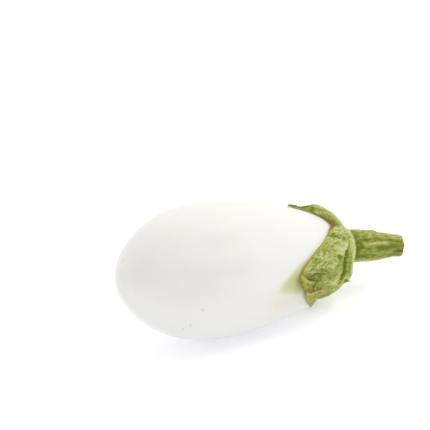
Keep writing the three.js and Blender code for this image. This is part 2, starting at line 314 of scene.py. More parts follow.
def closed_mesh(name: str, rings: Rings, first: np.ndarray, last: np.ndarray,
                masks: dict[Mask, Rings]) -> bpy.types.Object:
    """A closed skin over rings of points, with one point capping each end.

    Args:
        name: The object's name.
        rings: Points in millimetres, shaped rings by columns by 3.
        first: The point that closes the first ring.
        last: The point that closes the last ring.
        masks: One array of rings by columns for each surface attribute.

    Returns:
        The new object, linked to the scene.
    """
    count, columns = rings.shape[:2]
    points = np.vstack([rings.reshape(-1, 3), first, last]) * MM
    grid = np.arange(count * columns).reshape(count, columns)
    ahead = np.roll(grid, -1, axis=1)
    quads = np.stack([grid[:-1], grid[1:], ahead[1:], ahead[:-1]], axis=-1).reshape(-1, 4)
    caps = [(count * columns, int(a), int(b)) for a, b in zip(grid[0], ahead[0])]
    caps += [(count * columns + 1, int(b), int(a)) for a, b in zip(grid[-1], ahead[-1])]
    mesh = bpy.data.meshes.new(name)
    mesh.from_pydata(points.tolist(), [], quads.tolist() + caps)
    for mask, values in masks.items():
        layer = mesh.attributes.new(mask.value, "FLOAT", "POINT")
        ends = [values[0].mean(), values[-1].mean()]
        layer.data.foreach_set("value", np.concatenate([values.ravel(), ends]).astype(np.float32))
    mesh.polygons.foreach_set("use_smooth", [True] * len(mesh.polygons))
    corner = [points[quads[:, i]] for i in range(4)]
    volume = np.einsum("ij,ij->", corner[0], np.cross(corner[1], corner[2]))
    volume += np.einsum("ij,ij->", corner[0], np.cross(corner[2], corner[3]))
    if volume < 0:
        mesh.flip_normals()
    mesh.update()
    piece = bpy.data.objects.new(name, mesh)
    bpy.context.scene.collection.objects.link(piece)
    return piece


def joined(name: str, parts: list[bpy.types.Object]) -> bpy.types.Object:
    """Several meshes made into one object.

    Args:
        name: The name of the joined object.
        parts: The objects, the first of which receives the others.

    Returns:
        The joined object.
    """
    for other in bpy.context.selected_objects:
        other.select_set(False)
    for part in parts:
        part.select_set(True)
    bpy.context.view_layer.objects.active = parts[0]
    bpy.ops.object.join()
    parts[0].name = name
    return parts[0]


class Sum(Enum):
    """The sums that a Math node does here."""

    ADD = "ADD"
    LESS = "SUBTRACT"
    TIMES = "MULTIPLY"


class Nodes:
    """Short words for building a material's node tree."""

    def __init__(self, name: str) -> None:
        """Start a material with a plain surface shader.

        Args:
            name: The material's name.
        """
        self.material = bpy.data.materials.new(name)
        self.material.use_nodes = True
        self.tree = self.material.node_tree
        self.surface = self.tree.nodes["Principled BSDF"]

    def set(self, **values: object) -> None:
        """Set sockets of the surface shader, with spaces written as underscores."""
        for socket, value in values.items():
            self.surface.inputs[socket.replace("_", " ")].default_value = value

    def add(self, kind: str, **settings: object) -> bpy.types.Node:
        """Add a node.

        Args:
            kind: The node's type without its ShaderNode prefix.
            settings: Properties to set on it.

        Returns:
            The new node.
        """
        node = self.tree.nodes.new("ShaderNode" + kind)
        for key, value in settings.items():
            setattr(node, key, value)
        return node

    def link(self, source: bpy.types.NodeSocket, target: bpy.types.NodeSocket) -> None:
        """Join two sockets."""
        self.tree.links.new(source, target)

    def mask(self, mask: Mask) -> bpy.types.NodeSocket:
        """The socket of a surface attribute."""
        return self.add("Attribute", attribute_name=mask.value).outputs["Fac"]

    def noise(self, scale: float, detail: float = 3.0,
              stretch: tuple[float, float, float] = (1.0, 1.0, 1.0)) -> bpy.types.NodeSocket:
        """Noise over the piece.

        Args:
            scale: Cells in a metre.
            detail: Octaves.
            stretch: Factors on the three axes.

        Returns:
            The socket of the noise, from 0 to 1.
        """
        place = self.add("TexCoord").outputs["Object"]
        mapping = self.add("Mapping")
        mapping.inputs["Scale"].default_value = stretch
        self.link(place, mapping.inputs["Vector"])
        texture = self.add("TexNoise")
        texture.inputs["Scale"].default_value = scale
        texture.inputs["Detail"].default_value = detail
        self.link(mapping.outputs["Vector"], texture.inputs["Vector"])
        return texture.outputs["Fac"]

    def math(self, first: object, kind: Sum, second: object) -> bpy.types.NodeSocket:
        """One sum on two values or sockets.

        Args:
            first: A number or a socket.
            kind: The sum.
            second: A number or a socket.

        Returns:
            The socket of the result, kept between 0 and 1.
        """
        node = self.add("Math", operation=kind.value, use_clamp=True)
        for slot, value in enumerate((first, second)):
            if isinstance(value, bpy.types.NodeSocket):
                self.link(value, node.inputs[slot])
            else:
                node.inputs[slot].default_value = value
        return node.outputs[0]

    def ramp(self, source: bpy.types.NodeSocket, stops: list[tuple[float, Colour]]) -> bpy.types.NodeSocket:
        """Colours along a value.

        Args:
            source: The socket to read.
            stops: Pairs of place and linear colour.

        Returns:
            The socket of the colour.
        """
        node = self.add("ValToRGB")
        elements = node.color_ramp.elements
        while len(elements) < len(stops):
            elements.new(0.5)
        for element, (place, colour) in zip(elements, stops):
            element.position = place
            element.color = (*colour, 1.0)
        self.link(source, node.inputs["Fac"])
        return node.outputs["Color"]

    def mix(self, share: object, below: object, above: object) -> bpy.types.NodeSocket:
        """A blend of two colours.

        Args:
            share: A number or a socket, 0 for the first colour and 1 for the second.
            below: A linear colour or a socket.
            above: A linear colour or a socket.

        Returns:
            The socket of the blend.
        """
        node = self.add("Mix", data_type="RGBA")
        for slot, value in ((0, share), (6, below), (7, above)):
            if isinstance(value, bpy.types.NodeSocket):
                self.link(value, node.inputs[slot])
            elif slot == 0:
                node.inputs[slot].default_value = value
            else:
                node.inputs[slot].default_value = (*value, 1.0)
        return node.outputs[2]

    def relief(self, height: bpy.types.NodeSocket, depth: float, strength: float) -> None:
        """Fine bumps on the surface.

        Args:
            height: The socket of the height, from 0 to 1.
            depth: The height's depth in metres.
            strength: How strongly it turns the light.
        """
        node = self.add("Bump")
        node.inputs["Strength"].default_value = strength
        node.inputs["Distance"].default_value = depth
        self.link(height, node.inputs["Height"])
        self.link(node.outputs["Normal"], self.surface.inputs["Normal"])


def linear(red: int, green: int, blue: int) -> Colour:
    """A linear colour from screen values between 0 and 255.

    Args:
        red: The red value.
        green: The green value.
        blue: The blue value.

    Returns:
        The linear colour.
    """
    def one(value: int) -> float:
        """One screen value made linear."""
        share = value / 255
        return share / 12.92 if share <= 0.04045 else ((share + 0.055) / 1.055) ** 2.4
    return one(red), one(green), one(blue)


@dataclass(frozen=True)
class SkinFinish:
    """White waxy fruit skin: a soft gloss, warm clouds, a corky scar, and painted grey and green shade."""

    white: Colour = linear(240, 239, 235)
    warm: Colour = linear(234, 229, 221)
    # Painted greenish shade that the nearest sepal casts on the skin.
    green: Colour = linear(206, 205, 150)
    cork: Colour = linear(176, 150, 112)
    # Painted grey shade for the skin low on the near side and at the blossom end.
    dull: Colour = linear(226, 226, 223)
    roughness: float = 0.34

    def material(self) -> bpy.types.Material:
        """The skin's material."""
        nodes = Nodes("white_skin")
        clouds = nodes.noise(scale=26.0, detail=3.0, stretch=(0.5, 1.0, 1.0))
        colour = nodes.ramp(clouds, [(0.4, self.white), (0.95, self.warm)])
        streaks = nodes.noise(scale=160.0, detail=4.0, stretch=(0.08, 1.0, 1.0))
        faint = nodes.math(nodes.math(streaks, Sum.LESS, 0.45), Sum.TIMES, 0.35)
        colour = nodes.mix(faint, colour, self.warm)
        colour = nodes.mix(nodes.math(nodes.mask(Mask.WARM), Sum.TIMES, 0.45), colour, self.warm)
        # Painted shade: grey low on the near side and at the blossom end, greenish beside the sepals; then
        # the corky scar.
        for mask, shade in ((Mask.DULL, self.dull), (Mask.TINGE, self.green), (Mask.SCAR, self.cork)):
            colour = nodes.mix(nodes.mask(mask), colour, shade)
        nodes.link(colour, nodes.surface.inputs["Base Color"])
        nodes.set(Roughness=self.roughness, Subsurface_Weight=0.25, Subsurface_Scale=0.004,
                  Subsurface_Radius=(1.0, 0.8, 0.55), Coat_Weight=0.08, Coat_Roughness=0.2,
                  Specular_IOR_Level=0.3)
        nodes.relief(nodes.noise(scale=900.0, detail=2.0), depth=0.00002, strength=0.25)
        return nodes.material


@dataclass(frozen=True)
class CalyxFinish:
    """Leathery green leaf: pale veins, dried brown edges, a smooth lining, painted shade and highlights."""

    pale: Colour = linear(203, 205, 146)
    green: Colour = linear(156, 165, 68)
    deep: Colour = linear(104, 122, 8)
    fresh: Colour = linear(181, 187, 42)
    olive: Colour = linear(122, 112, 16)
    dried: Colour = linear(150, 100, 52)
    cork: Colour = linear(146, 122, 68)
    pith: Colour = linear(206, 170, 132)
    straw: Colour = linear(206, 182, 130)
    young: Colour = linear(120, 152, 20)

    def material(self) -> bpy.types.Material:
        """The calyx's material."""
        nodes = Nodes("green_calyx")
        # Painted shade: this mask, with random mottle, darkens the green in dimples, creases, grooves and the
        # low parts of the folds, and turns the lining and folds from fresh yellow-green to olive.
        painted_shade = nodes.math(nodes.mask(Mask.HOLLOW), Sum.TIMES, 0.75)
        mottle = nodes.math(nodes.noise(scale=420.0, detail=4.0), Sum.TIMES, 0.32)
        depth = nodes.math(painted_shade, Sum.ADD, mottle)
        colour = nodes.ramp(depth, [(0.1, self.pale), (0.42, self.green), (0.8, self.deep)])
        smooth_side = nodes.ramp(depth, [(0.2, self.fresh), (0.55, self.green), (0.95, self.olive)])
        colour = nodes.mix(nodes.mask(Mask.LINING), colour, smooth_side)
        # Pale veins, and painted highlights on the wrinkles' crests, the stem's ridges and along the folds.
        colour = nodes.mix(nodes.math(nodes.mask(Mask.VEIN), Sum.TIMES, 0.72), colour, self.pale)
        # Deep saturated green: painted shade in the crease floor, the groove and the darkest pits, and the
        # prickles' own green.
        colour = nodes.mix(nodes.mask(Mask.YOUNG), colour, self.young)
        patches = nodes.math(nodes.noise(scale=330.0, detail=5.0, stretch=(0.3, 1.0, 1.0)), Sum.LESS, 0.55)
        corky = nodes.math(nodes.math(patches, Sum.TIMES, 6.0), Sum.TIMES, nodes.mask(Mask.STEM))
        colour = nodes.mix(nodes.math(corky, Sum.TIMES, 0.6), colour, self.cork)
        uneven = nodes.math(nodes.noise(scale=700.0, detail=3.0), Sum.ADD, 0.55)
        ragged = nodes.math(nodes.mask(Mask.EDGE), Sum.TIMES, uneven)
        colour = nodes.mix(ragged, colour, self.dried)
        for mask, shade in ((Mask.STRAW, self.straw), (Mask.CUT, self.pith)):
            colour = nodes.mix(nodes.mask(mask), colour, shade)
        nodes.link(colour, nodes.surface.inputs["Base Color"])
        nodes.set(Roughness=0.62, Subsurface_Weight=0.08, Subsurface_Scale=0.0015,
                  Subsurface_Radius=(0.6, 1.0, 0.3), Specular_IOR_Level=0.35)
        nodes.relief(nodes.noise(scale=1500.0, detail=4.0), depth=0.00012, strength=0.55)
        return nodes.material


@dataclass(frozen=True)
class SpeckFinish:
    """Tiny brown corky marks on the white skin."""

    brown: Colour = linear(140, 112, 92)
    worn: Colour = linear(190, 170, 150)

    def material(self) -> bpy.types.Material:
        """The specks' material."""
        nodes = Nodes("brown_speck")
        colour = nodes.ramp(nodes.noise(scale=2500.0), [(0.3, self.brown), (0.8, self.worn)])
        nodes.link(colour, nodes.surface.inputs["Base Color"])
        nodes.set(Roughness=0.7)
        return nodes.material


@dataclass(frozen=True)
class FloorFinish:
    """A plain white floor, so bright that only the shadow under the fruit shows on it."""

    white: Colour = (0.86, 0.86, 0.86)
    glow_tint: Colour = (0.96, 0.97, 1.05)
    glow: float = 0.33

    def material(self) -> bpy.types.Material:
        """The floor's material."""
        nodes = Nodes("white_floor")
        nodes.set(Base_Color=(*self.white, 1.0), Roughness=0.9, Emission_Color=(*self.glow_tint, 1.0),
                  Emission_Strength=self.glow)
        return nodes.material


@dataclass
class Fruit:
    """The white berry with its blossom scar and the few specks on its skin, in millimetres.

    pole is how near to the ends of the axis the first and last rings stand, in radians. swells are the
    unevenness of the skin, each as a height, the size of a cell and a seed. speck_places are (along,
    turn, radius), warm_places (along, turn, length, width in degrees), and the last two lines the turns
    between which the skin carries painted greenish shade from the sepals, at places along the axis.
    """

    shape: FruitShape
    rings: int = 170
    columns: int = 176
    scar_radius: float = 1.7
    scar_polar: float = pi - 0.18
    scar_turn: float = 262.0
    pole: float = 0.004
    swells: tuple[tuple[float, float, float], ...] = ((0.12, 24.0, 3.1), (0.035, 7.0, 8.4))
    speck_places: tuple[tuple[float, float, float], ...] = (
        (-37.3, 122.9, 0.42), (-35.0, 114.8, 0.36), (-36.4, 118.0, 0.22), (-31.2, 95.3, 0.26),
        (-58.9, 351.3, 0.24), (8.0, 150.0, 0.26), (-35.0, 240.0, 0.3), (12.0, 285.0, 0.34),
    )
    warm_places: tuple[tuple[float, float, float, float], ...] = (
        (-20.0, 36.0, 14.0, 9.0), (-17.0, 62.0, 13.0, 8.0), (24.0, 230.0, 12.0, 14.0),
    )
    shade_top: Line = ((4.0, 86.0), (8.6, 83.0), (12.0, 76.0), (22.0, 63.0), (26.0, 60.0))
    shade_foot: Line = ((4.0, 88.0), (8.6, 89.5), (16.0, 93.0), (23.0, 97.0))

    def build(self) -> list[bpy.types.Object]:
        """Build the fruit and its specks.

        Returns:
            The fruit's object and the specks' object.
        """
        polar = np.linspace(self.pole, pi - self.pole, self.rings)[:, None]
        turn = np.linspace(0.0, 360.0, self.columns, endpoint=False)[None, :]
        skin = self.shape.on_skin(polar, turn, np.zeros((self.rings, self.columns)))
        height = sum(rise * grain(skin / cell, seed) for rise, cell, seed in self.swells)
        scar, dent = self.scar(skin)
        rings = self.shape.on_skin(polar, turn, height - dent)
        rings[..., 2] = np.maximum(rings[..., 2], 0.0)
        ends = self.shape.on_skin(np.array([0.0001, pi - 0.0001]), np.zeros(2), np.zeros(2))
        along = self.shape.half_length * np.cos(polar)
        # Painted shade on the skin: greenish beside the sepals, and grey low on the near side and at the
        # blossom end.
        masks = {Mask.SCAR: scar, Mask.TINGE: self.tinge(along, turn),
                 Mask.WARM: self.warmth(along, turn, skin), Mask.DULL: self.belly_shade(along, turn)}
        body = closed_mesh("fruit_body", rings, ends[0], ends[1], masks)
        return [body, self.specks()]

    def scar(self, skin: Rings) -> tuple[Rings, Rings]:
        """The corky scar that the blossom left.

        Args:
            skin: Points on the skin.

        Returns:
            The share of cork, from 0 to 1, and how deep the skin is drawn in.
        """
        place = self.shape.on_skin(np.array([self.scar_polar]), np.array([self.scar_turn]), np.zeros(1))[0]
        away = np.linalg.norm(skin - place, axis=-1)
        ragged = 0.8 * grain(skin / 1.3, seed=5.0)
        cork = 0.85 * (1.0 - smooth(self.scar_radius * 0.5, self.scar_radius, away + ragged))
        return cork, 0.25 * bump(0.0, self.scar_radius * 1.6, away)

    def tinge(self, along: Rings, turn: Rings) -> Rings:
        """Painted greenish shade beside the nearest sepal's tip, a paler shade below it and a faint green
        rising toward the stem end.

        Args:
            along: Millimetres from the fruit's middle toward the stem.
            turn: Degrees from the top toward -Y.

        Returns:
            The share of green, from 0 to 1.
        """
        # Painted shade: the greenish shadow of the nearest sepal's tip between two lines of turns, a paler
        # grey shade below the tip, and a faint green rising toward the stem end.
        top, foot = follow(self.shade_top, along), follow(self.shade_foot, along)
        patch = smooth(top, top + 9.0, turn) * (1 - smooth(foot - 6.0, foot + 5.0, turn))
        patch = patch * smooth(2.0, 16.0, along)
        below = 0.26 * bump(101.0, 13.0, turn) * between(along, rise=(0.0, 12.0), fall=(24.0, 36.0))
        collar = 0.2 * smooth(36.0, 52.0, along)
        return np.clip(np.maximum(patch, below) + collar, 0.0, 1.0)

    def belly_shade(self, along: Rings, turn: Rings) -> Rings:
        """How much painted grey shade the skin gets low on the near side and at the blossom end.

        Args:
            along: Millimetres from the fruit's middle toward the stem.
            turn: Degrees from the top toward -Y.

        Returns:
            The share of painted shade, from 0 to 1.
        """
        under = 0.9 * between(turn, rise=(95.0, 132.0), fall=(136.0, 158.0))
        end = 0.7 * (1 - smooth(-61.8, -59.3, along))
        return np.clip(under + end, 0.0, 1.0)

    def warmth(self, along: Rings, turn: Rings, skin: Rings) -> Rings:
        """How creamy the skin is over its belly.

        Args:
            along: Millimetres from the fruit's middle toward the stem.
            turn: Degrees from the top toward -Y.
            skin: Points on the skin.

        Returns:
            The share of cream, from 0 to 1.
        """
        patches = sum(bump(0.0, 1.0, np.hypot((along - middle) / long, wrapped(turn, aside) / wide))
                      for middle, aside, long, wide in self.warm_places)
        return np.clip(patches * (1.0 + 0.5 * grain(skin / 9.0, seed=1.4)), 0.0, 1.0)

    def specks(self) -> bpy.types.Object:
        """Raise a small uneven corky dome on the skin at each speck."""
        domes = []
        sides, rows = 16, 6
        sunk, height, longer, shorter = 0.05, 0.14, 1.3, 0.8
        angle = np.linspace(0.0, 2 * pi, sides, endpoint=False)
        rise = np.linspace(0.0, pi / 2, rows)[:, None]
        for number, (along, turn, radius) in enumerate(self.speck_places):
            polar, around_it = np.array([acos(along / self.shape.half_length)]), np.array([turn])
            place = self.shape.on_skin(polar, around_it, np.array([-sunk]))[0]
            out = self.shape.on_skin(polar, around_it, np.array([1.0 - sunk]))[0] - place
            side = np.cross(out, self.shape.along)
            side /= np.linalg.norm(side)
            other = np.cross(out, side)
            uneven = 1.0 + 0.3 * np.sin(3 * angle + number) + 0.15 * np.sin(5 * angle + 2 * number)
            flat = np.cos(rise) * uneven * radius
            rings = (place + (longer * flat * np.cos(angle))[..., None] * side
                     + (shorter * flat * np.sin(angle))[..., None] * other
                     + (height * np.sin(rise) + 0 * flat)[..., None] * out)
            domes.append(closed_mesh(f"speck_{number}", rings[:-1], place, rings[-1].mean(0), {}))
        return joined("skin_specks", domes)

    def dress(self, pieces: list[bpy.types.Object]) -> None:
        """Give the fruit and its specks their finishes and join them to the frame.

        Args:
            pieces: The fruit's object and the specks' object.
        """
        for piece, finish in zip(pieces, (SkinFinish(), SpeckFinish())):
            piece.data.materials.clear()
            piece.data.materials.append(finish.material())
            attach(piece, "root")
        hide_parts(Node.FRUIT.value)


@dataclass(frozen=True)
class MarginPoint:
    """A point of the calyx's margin.

    turn is in degrees from the top toward -Y, along in millimetres from the fruit's middle, curl in
    degrees of outward roll, and tail the millimetres of blade past the roll.
    """

    turn: float
    along: float
    curl: float = 0.0
    tail: float = 0.0
    notch: bool = False


MARGIN = (
    MarginPoint(16, 50.5, notch=True),
    MarginPoint(31, 46.5),
    MarginPoint(46, 40),
    MarginPoint(55, 34),
    MarginPoint(62, 29),
    MarginPoint(68, 25.4),
    MarginPoint(73, 23.0),
    MarginPoint(77.5, 22.4),
    MarginPoint(83, 23.2),
    MarginPoint(88, 24.6),
    MarginPoint(93, 26.6),
    MarginPoint(98, 28.8),
    MarginPoint(104, 31.2),
    MarginPoint(110, 34),
    MarginPoint(115.5, 37.5),
    MarginPoint(121, 42),
    MarginPoint(129, 49),
    MarginPoint(140, 53, notch=True),
    MarginPoint(152, 50),
    MarginPoint(166, 45),
    MarginPoint(182, 40),
    MarginPoint(197, 35, 15, 0.6),
    MarginPoint(209, 40),
    MarginPoint(222, 47),
    MarginPoint(236, 53, notch=True),
    MarginPoint(249, 48),
    MarginPoint(261, 40),
    MarginPoint(272, 34, 10),
    MarginPoint(281, 28, 40, 0.6),
    MarginPoint(289, 25, 95, 2.4),
    MarginPoint(298, 28.5, 35),
    MarginPoint(308, 34.5),
    MarginPoint(319, 40),
    MarginPoint(329, 41.5),
    MarginPoint(338, 39),
    MarginPoint(345, 36.5),
    MarginPoint(349, 33.0),
    MarginPoint(352.3, 30.2),
    MarginPoint(354.5, 32.0),
    MarginPoint(356.5, 35.2),
    MarginPoint(358.5, 39.4),
    MarginPoint(361, 43),
    MarginPoint(365, 47.8),
)


@dataclass
class Columns:
    """The lines that run from the calyx's margin to the end of its stem, as arrays.

    turn, along, curl and tail are those of the margin where a line starts, and crown is the turn at which
    it reaches the stem.
    """

    turn: np.ndarray
    along: np.ndarray
    curl: np.ndarray
    tail: np.ndarray
    crown: np.ndarray


@dataclass(frozen=True)
class Fold:
    """A folded part of the nearest sepal's tip.

    Each row holds places as (turn, along, height above the skin), from the fold's free edge to its
    root. wall is the blade's thickness in millimetres, rim_at the share of the way down the rows where
    the dried rim runs, rim_width its half width as a share, shade the painted shade at the start and what
    it gains down the rows and along them, and bruises are brown spots, each as a share of the way along
    the row, a share of the way down the rows and a width in millimetres. end_dried is the brownness of
    the last row.
    """

    name: str
    rows: tuple[tuple[tuple[float, float, float], ...], ...]
    wall: float = 0.6
    dried: float = 0.5
    rim_at: float = 0.0
    rim_width: float = 0.07
    lining: float = 1.0
    shade: tuple[float, float, float] = (0.1, 0.6, 0.0)
    bruises: tuple[tuple[float, float, float], ...] = ()
    end_dried: float = 0.0


# The shade of each fold is painted shade: the cuff and the pointed tip darken toward their roots and far
# ends, and the rolled margin is darkest at the start of its rows.
CUFF = Fold(
    "cuff",
    (
        ((75.5, 21.7, 1.6), (77.9, 22.8, 2.6), (80.6, 24.2, 3.3), (82.0, 26.0, 3.7), (82.9, 27.9, 3.9),
         (83.8, 29.8, 4.1), (86.1, 32.4, 3.4)),
        ((76.5, 21.1, 1.8), (79.9, 21.3, 3.2), (82.7, 22.4, 4.3), (84.7, 24.0, 4.9), (85.7, 25.9, 5.0),
         (85.7, 27.6, 5.0), (89.6, 32.2, 3.6)),
        ((77.3, 21.1, 1.2), (79.8, 20.5, 2.0), (83.6, 20.6, 2.5), (88.4, 22.0, 3.0), (92.0, 24.4, 3.3),
         (92.9, 27.1, 3.8), (94.5, 32.0, 3.2)),
        ((77.6, 22.6, 0.5), (81.7, 23.0, 0.5), (87.0, 23.8, 0.6), (92.3, 26.1, 0.7), (95.8, 28.4, 0.8),
         (96.8, 30.4, 1.0), (99.6, 34.1, 1.0)),
    ),
    dried=0.45,
    shade=(0.18, 0.5, 0.5),
    bruises=((0.62, 0.5, 0.45), (0.42, 0.36, 0.35), (0.3, 0.66, 0.4), (0.8, 0.42, 0.35)),
)
RING = Fold(
    "rolled_margin",
    (
        ((92.2, 28.2, 4.3), (88.6, 26.9, 4.5), (85.3, 27.5, 4.5), (83.7, 29.2, 4.1), (83.9, 31.7, 3.7),
         (86.5, 34.5, 3.4), (91.6, 36.8, 3.4), (96.7, 38.1, 3.4), (101.7, 38.2, 3.4)),
        ((90.2, 27.5, 5.6), (86.9, 26.0, 6.2), (84.1, 26.3, 6.5), (82.5, 27.3, 6.5), (82.5, 29.2, 6.3),
         (84.3, 31.3, 6.1), (88.1, 33.4, 5.8), (92.1, 34.8, 5.4), (96.9, 35.5, 4.8)),
        ((90.8, 29.1, 5.0), (88.7, 28.3, 5.2), (86.9, 28.6, 5.3), (85.8, 29.3, 5.2), (85.9, 30.6, 5.1),
         (87.2, 32.0, 5.0), (89.7, 33.3, 4.9), (92.3, 34.0, 4.8), (95.0, 34.3, 4.6)),
        ((91.2, 31.4, 4.7), (91.0, 31.3, 4.7), (90.8, 31.3, 4.7), (90.6, 31.4, 4.7), (90.6, 31.6, 4.7),
         (90.7, 31.8, 4.7), (91.0, 31.9, 4.7), (91.3, 32.0, 4.7), (91.6, 32.0, 4.7)),
    ),
    wall=0.4,
    dried=1.0,
    rim_at=0.34,
    rim_width=0.06,
    lining=0.5,
    shade=(0.9, 0.1, -0.6),
)
POINTED_TIP = Fold(
    "pointed_tip",
    (
        ((99.1, 28.1, 0.4), (93.1, 25.2, 2.4), (93.6, 26.9, 3.6), (92.8, 28.5, 4.1), (92.0, 30.6, 4.4),
         (92.3, 32.8, 4.6), (96.4, 37.3, 4.4)),
        ((103.4, 28.4, 0.6), (98.6, 25.6, 1.9), (98.2, 27.0, 3.0), (98.2, 28.6, 3.5), (98.2, 30.4, 3.8),
         (97.9, 32.6, 4.0), (100.3, 35.9, 3.8)),
        ((110.4, 30.0, 0.6), (104.7, 27.0, 1.6), (103.9, 27.8, 2.4), (103.8, 28.9, 2.8), (104.1, 30.3, 3.0),
         (104.4, 31.9, 3.1), (106.1, 34.0, 3.0)),
        ((119.1, 32.4, 0.6), (112.6, 29.6, 1.4), (112.2, 29.9, 1.9), (112.4, 30.6, 2.1), (112.0, 31.0, 2.3),
         (111.6, 31.5, 2.4), (111.8, 32.3, 2.3)),
        ((130.7, 35.8, 0.7), (122.4, 32.9, 1.3), (123.1, 33.3, 1.6), (124.1, 33.7, 1.7), (123.0, 33.7, 1.8),
         (122.1, 33.7, 1.8), (120.3, 33.5, 1.8)),
    ),
    dried=0.9,
    shade=(0.4, 0.25, 0.1),
    bruises=((0.82, 0.24, 0.75), (0.46, 0.46, 0.42), (0.97, 0.5, 0.4), (0.97, 0.66, 0.4)),
    end_dried=0.9,
)


class Wrinkle(Enum):
    """The wrinkles of the leaf: how high each stands, in millimetres, and how much it darkens: painted shade
    for the relief, random tone for WIDE and PITTED.
    """

    RIB = (0.45, 0.0)
    PLEAT = (0.65, -0.34)
    FOLD = (0.35, -0.26)
    LONG_FOLD = (0.45, -0.24)
    DIMPLE = (-0.22, 0.3)
    FINE = (0.13, -0.46)
    WIDE = (0.0, 0.26)
    PITTED = (0.0, -0.2)

    @property
    def height(self) -> float:
        """Millimetres that it stands up."""
        return self.value[0]

    @property
    def shade(self) -> float:
        """What it adds to the mask of painted shade and tone."""
        return self.value[1]


@dataclass(frozen=True)
class Effect:
    """What a feature of the cap does where it is.

    height is added in millimetres, calm is the share of the wrinkles that it takes away, dark adds
    painted shade where the cap sinks or folds, pale adds pale veins and painted highlights, the last field
    adds deep green as painted shade, and plain is the share of the painted shade and tone that it takes
    away.
    """

    height: float = 0.0
    calm: float = 0.0
    dark: float = 0.0
    plain: float = 0.0
    pale: float = 0.0
    young: float = 0.0


class Feature(Enum):
    """The single features of the cap, each with what it does."""

    LIP = Effect(height=0.9)
    LIP_LINE = Effect(pale=2.0)
    LIP_FLANK = Effect(calm=0.8)
    BEHIND = Effect(height=-4.0)
    # BAND, POINT, GROOVE and LONG_CREASE darken the green as painted shade, and CREASE_FLOOR and PITS deepen
    # it as painted shade.
    BAND = Effect(calm=0.7, dark=0.3, pale=-0.5)
    MIDRIB = Effect(height=0.8, calm=0.6, plain=0.7, pale=0.9)
    POINT = Effect(height=-0.5, calm=0.5, dark=0.3, pale=-0.6)
    RIDGE = Effect(plain=0.6, pale=0.4)
    WEDGE = Effect(height=-0.8)
    GROOVE = Effect(height=-0.6, dark=0.6, pale=-1.0, young=0.4)
    LONG_CREASE = Effect(height=-1.0, dark=0.5, pale=-0.8)
    CREASE_FLOOR = Effect(young=0.5)
    FRINGE = Effect(plain=0.6)
    PITS = Effect(pale=-0.6, young=0.9)


@dataclass(frozen=True)
class PrickleForm:
    """The form of a prickle, in millimetres.

    foot is the radius of its broad foot, which falls away over foot_share of its length, stalk the radius
    above it, rise how far it stands off the surface, and sunk how deep its root sits.
    """

    sides: int = 12
    steps: int = 14
    length: float = 4.2
    length_spread: float = 0.5
    foot: float = 1.3
    foot_share: float = 0.42
    stalk: float = 0.24
    point: float = 0.04
    rise: float = 2.5
    sunk: float = 0.6


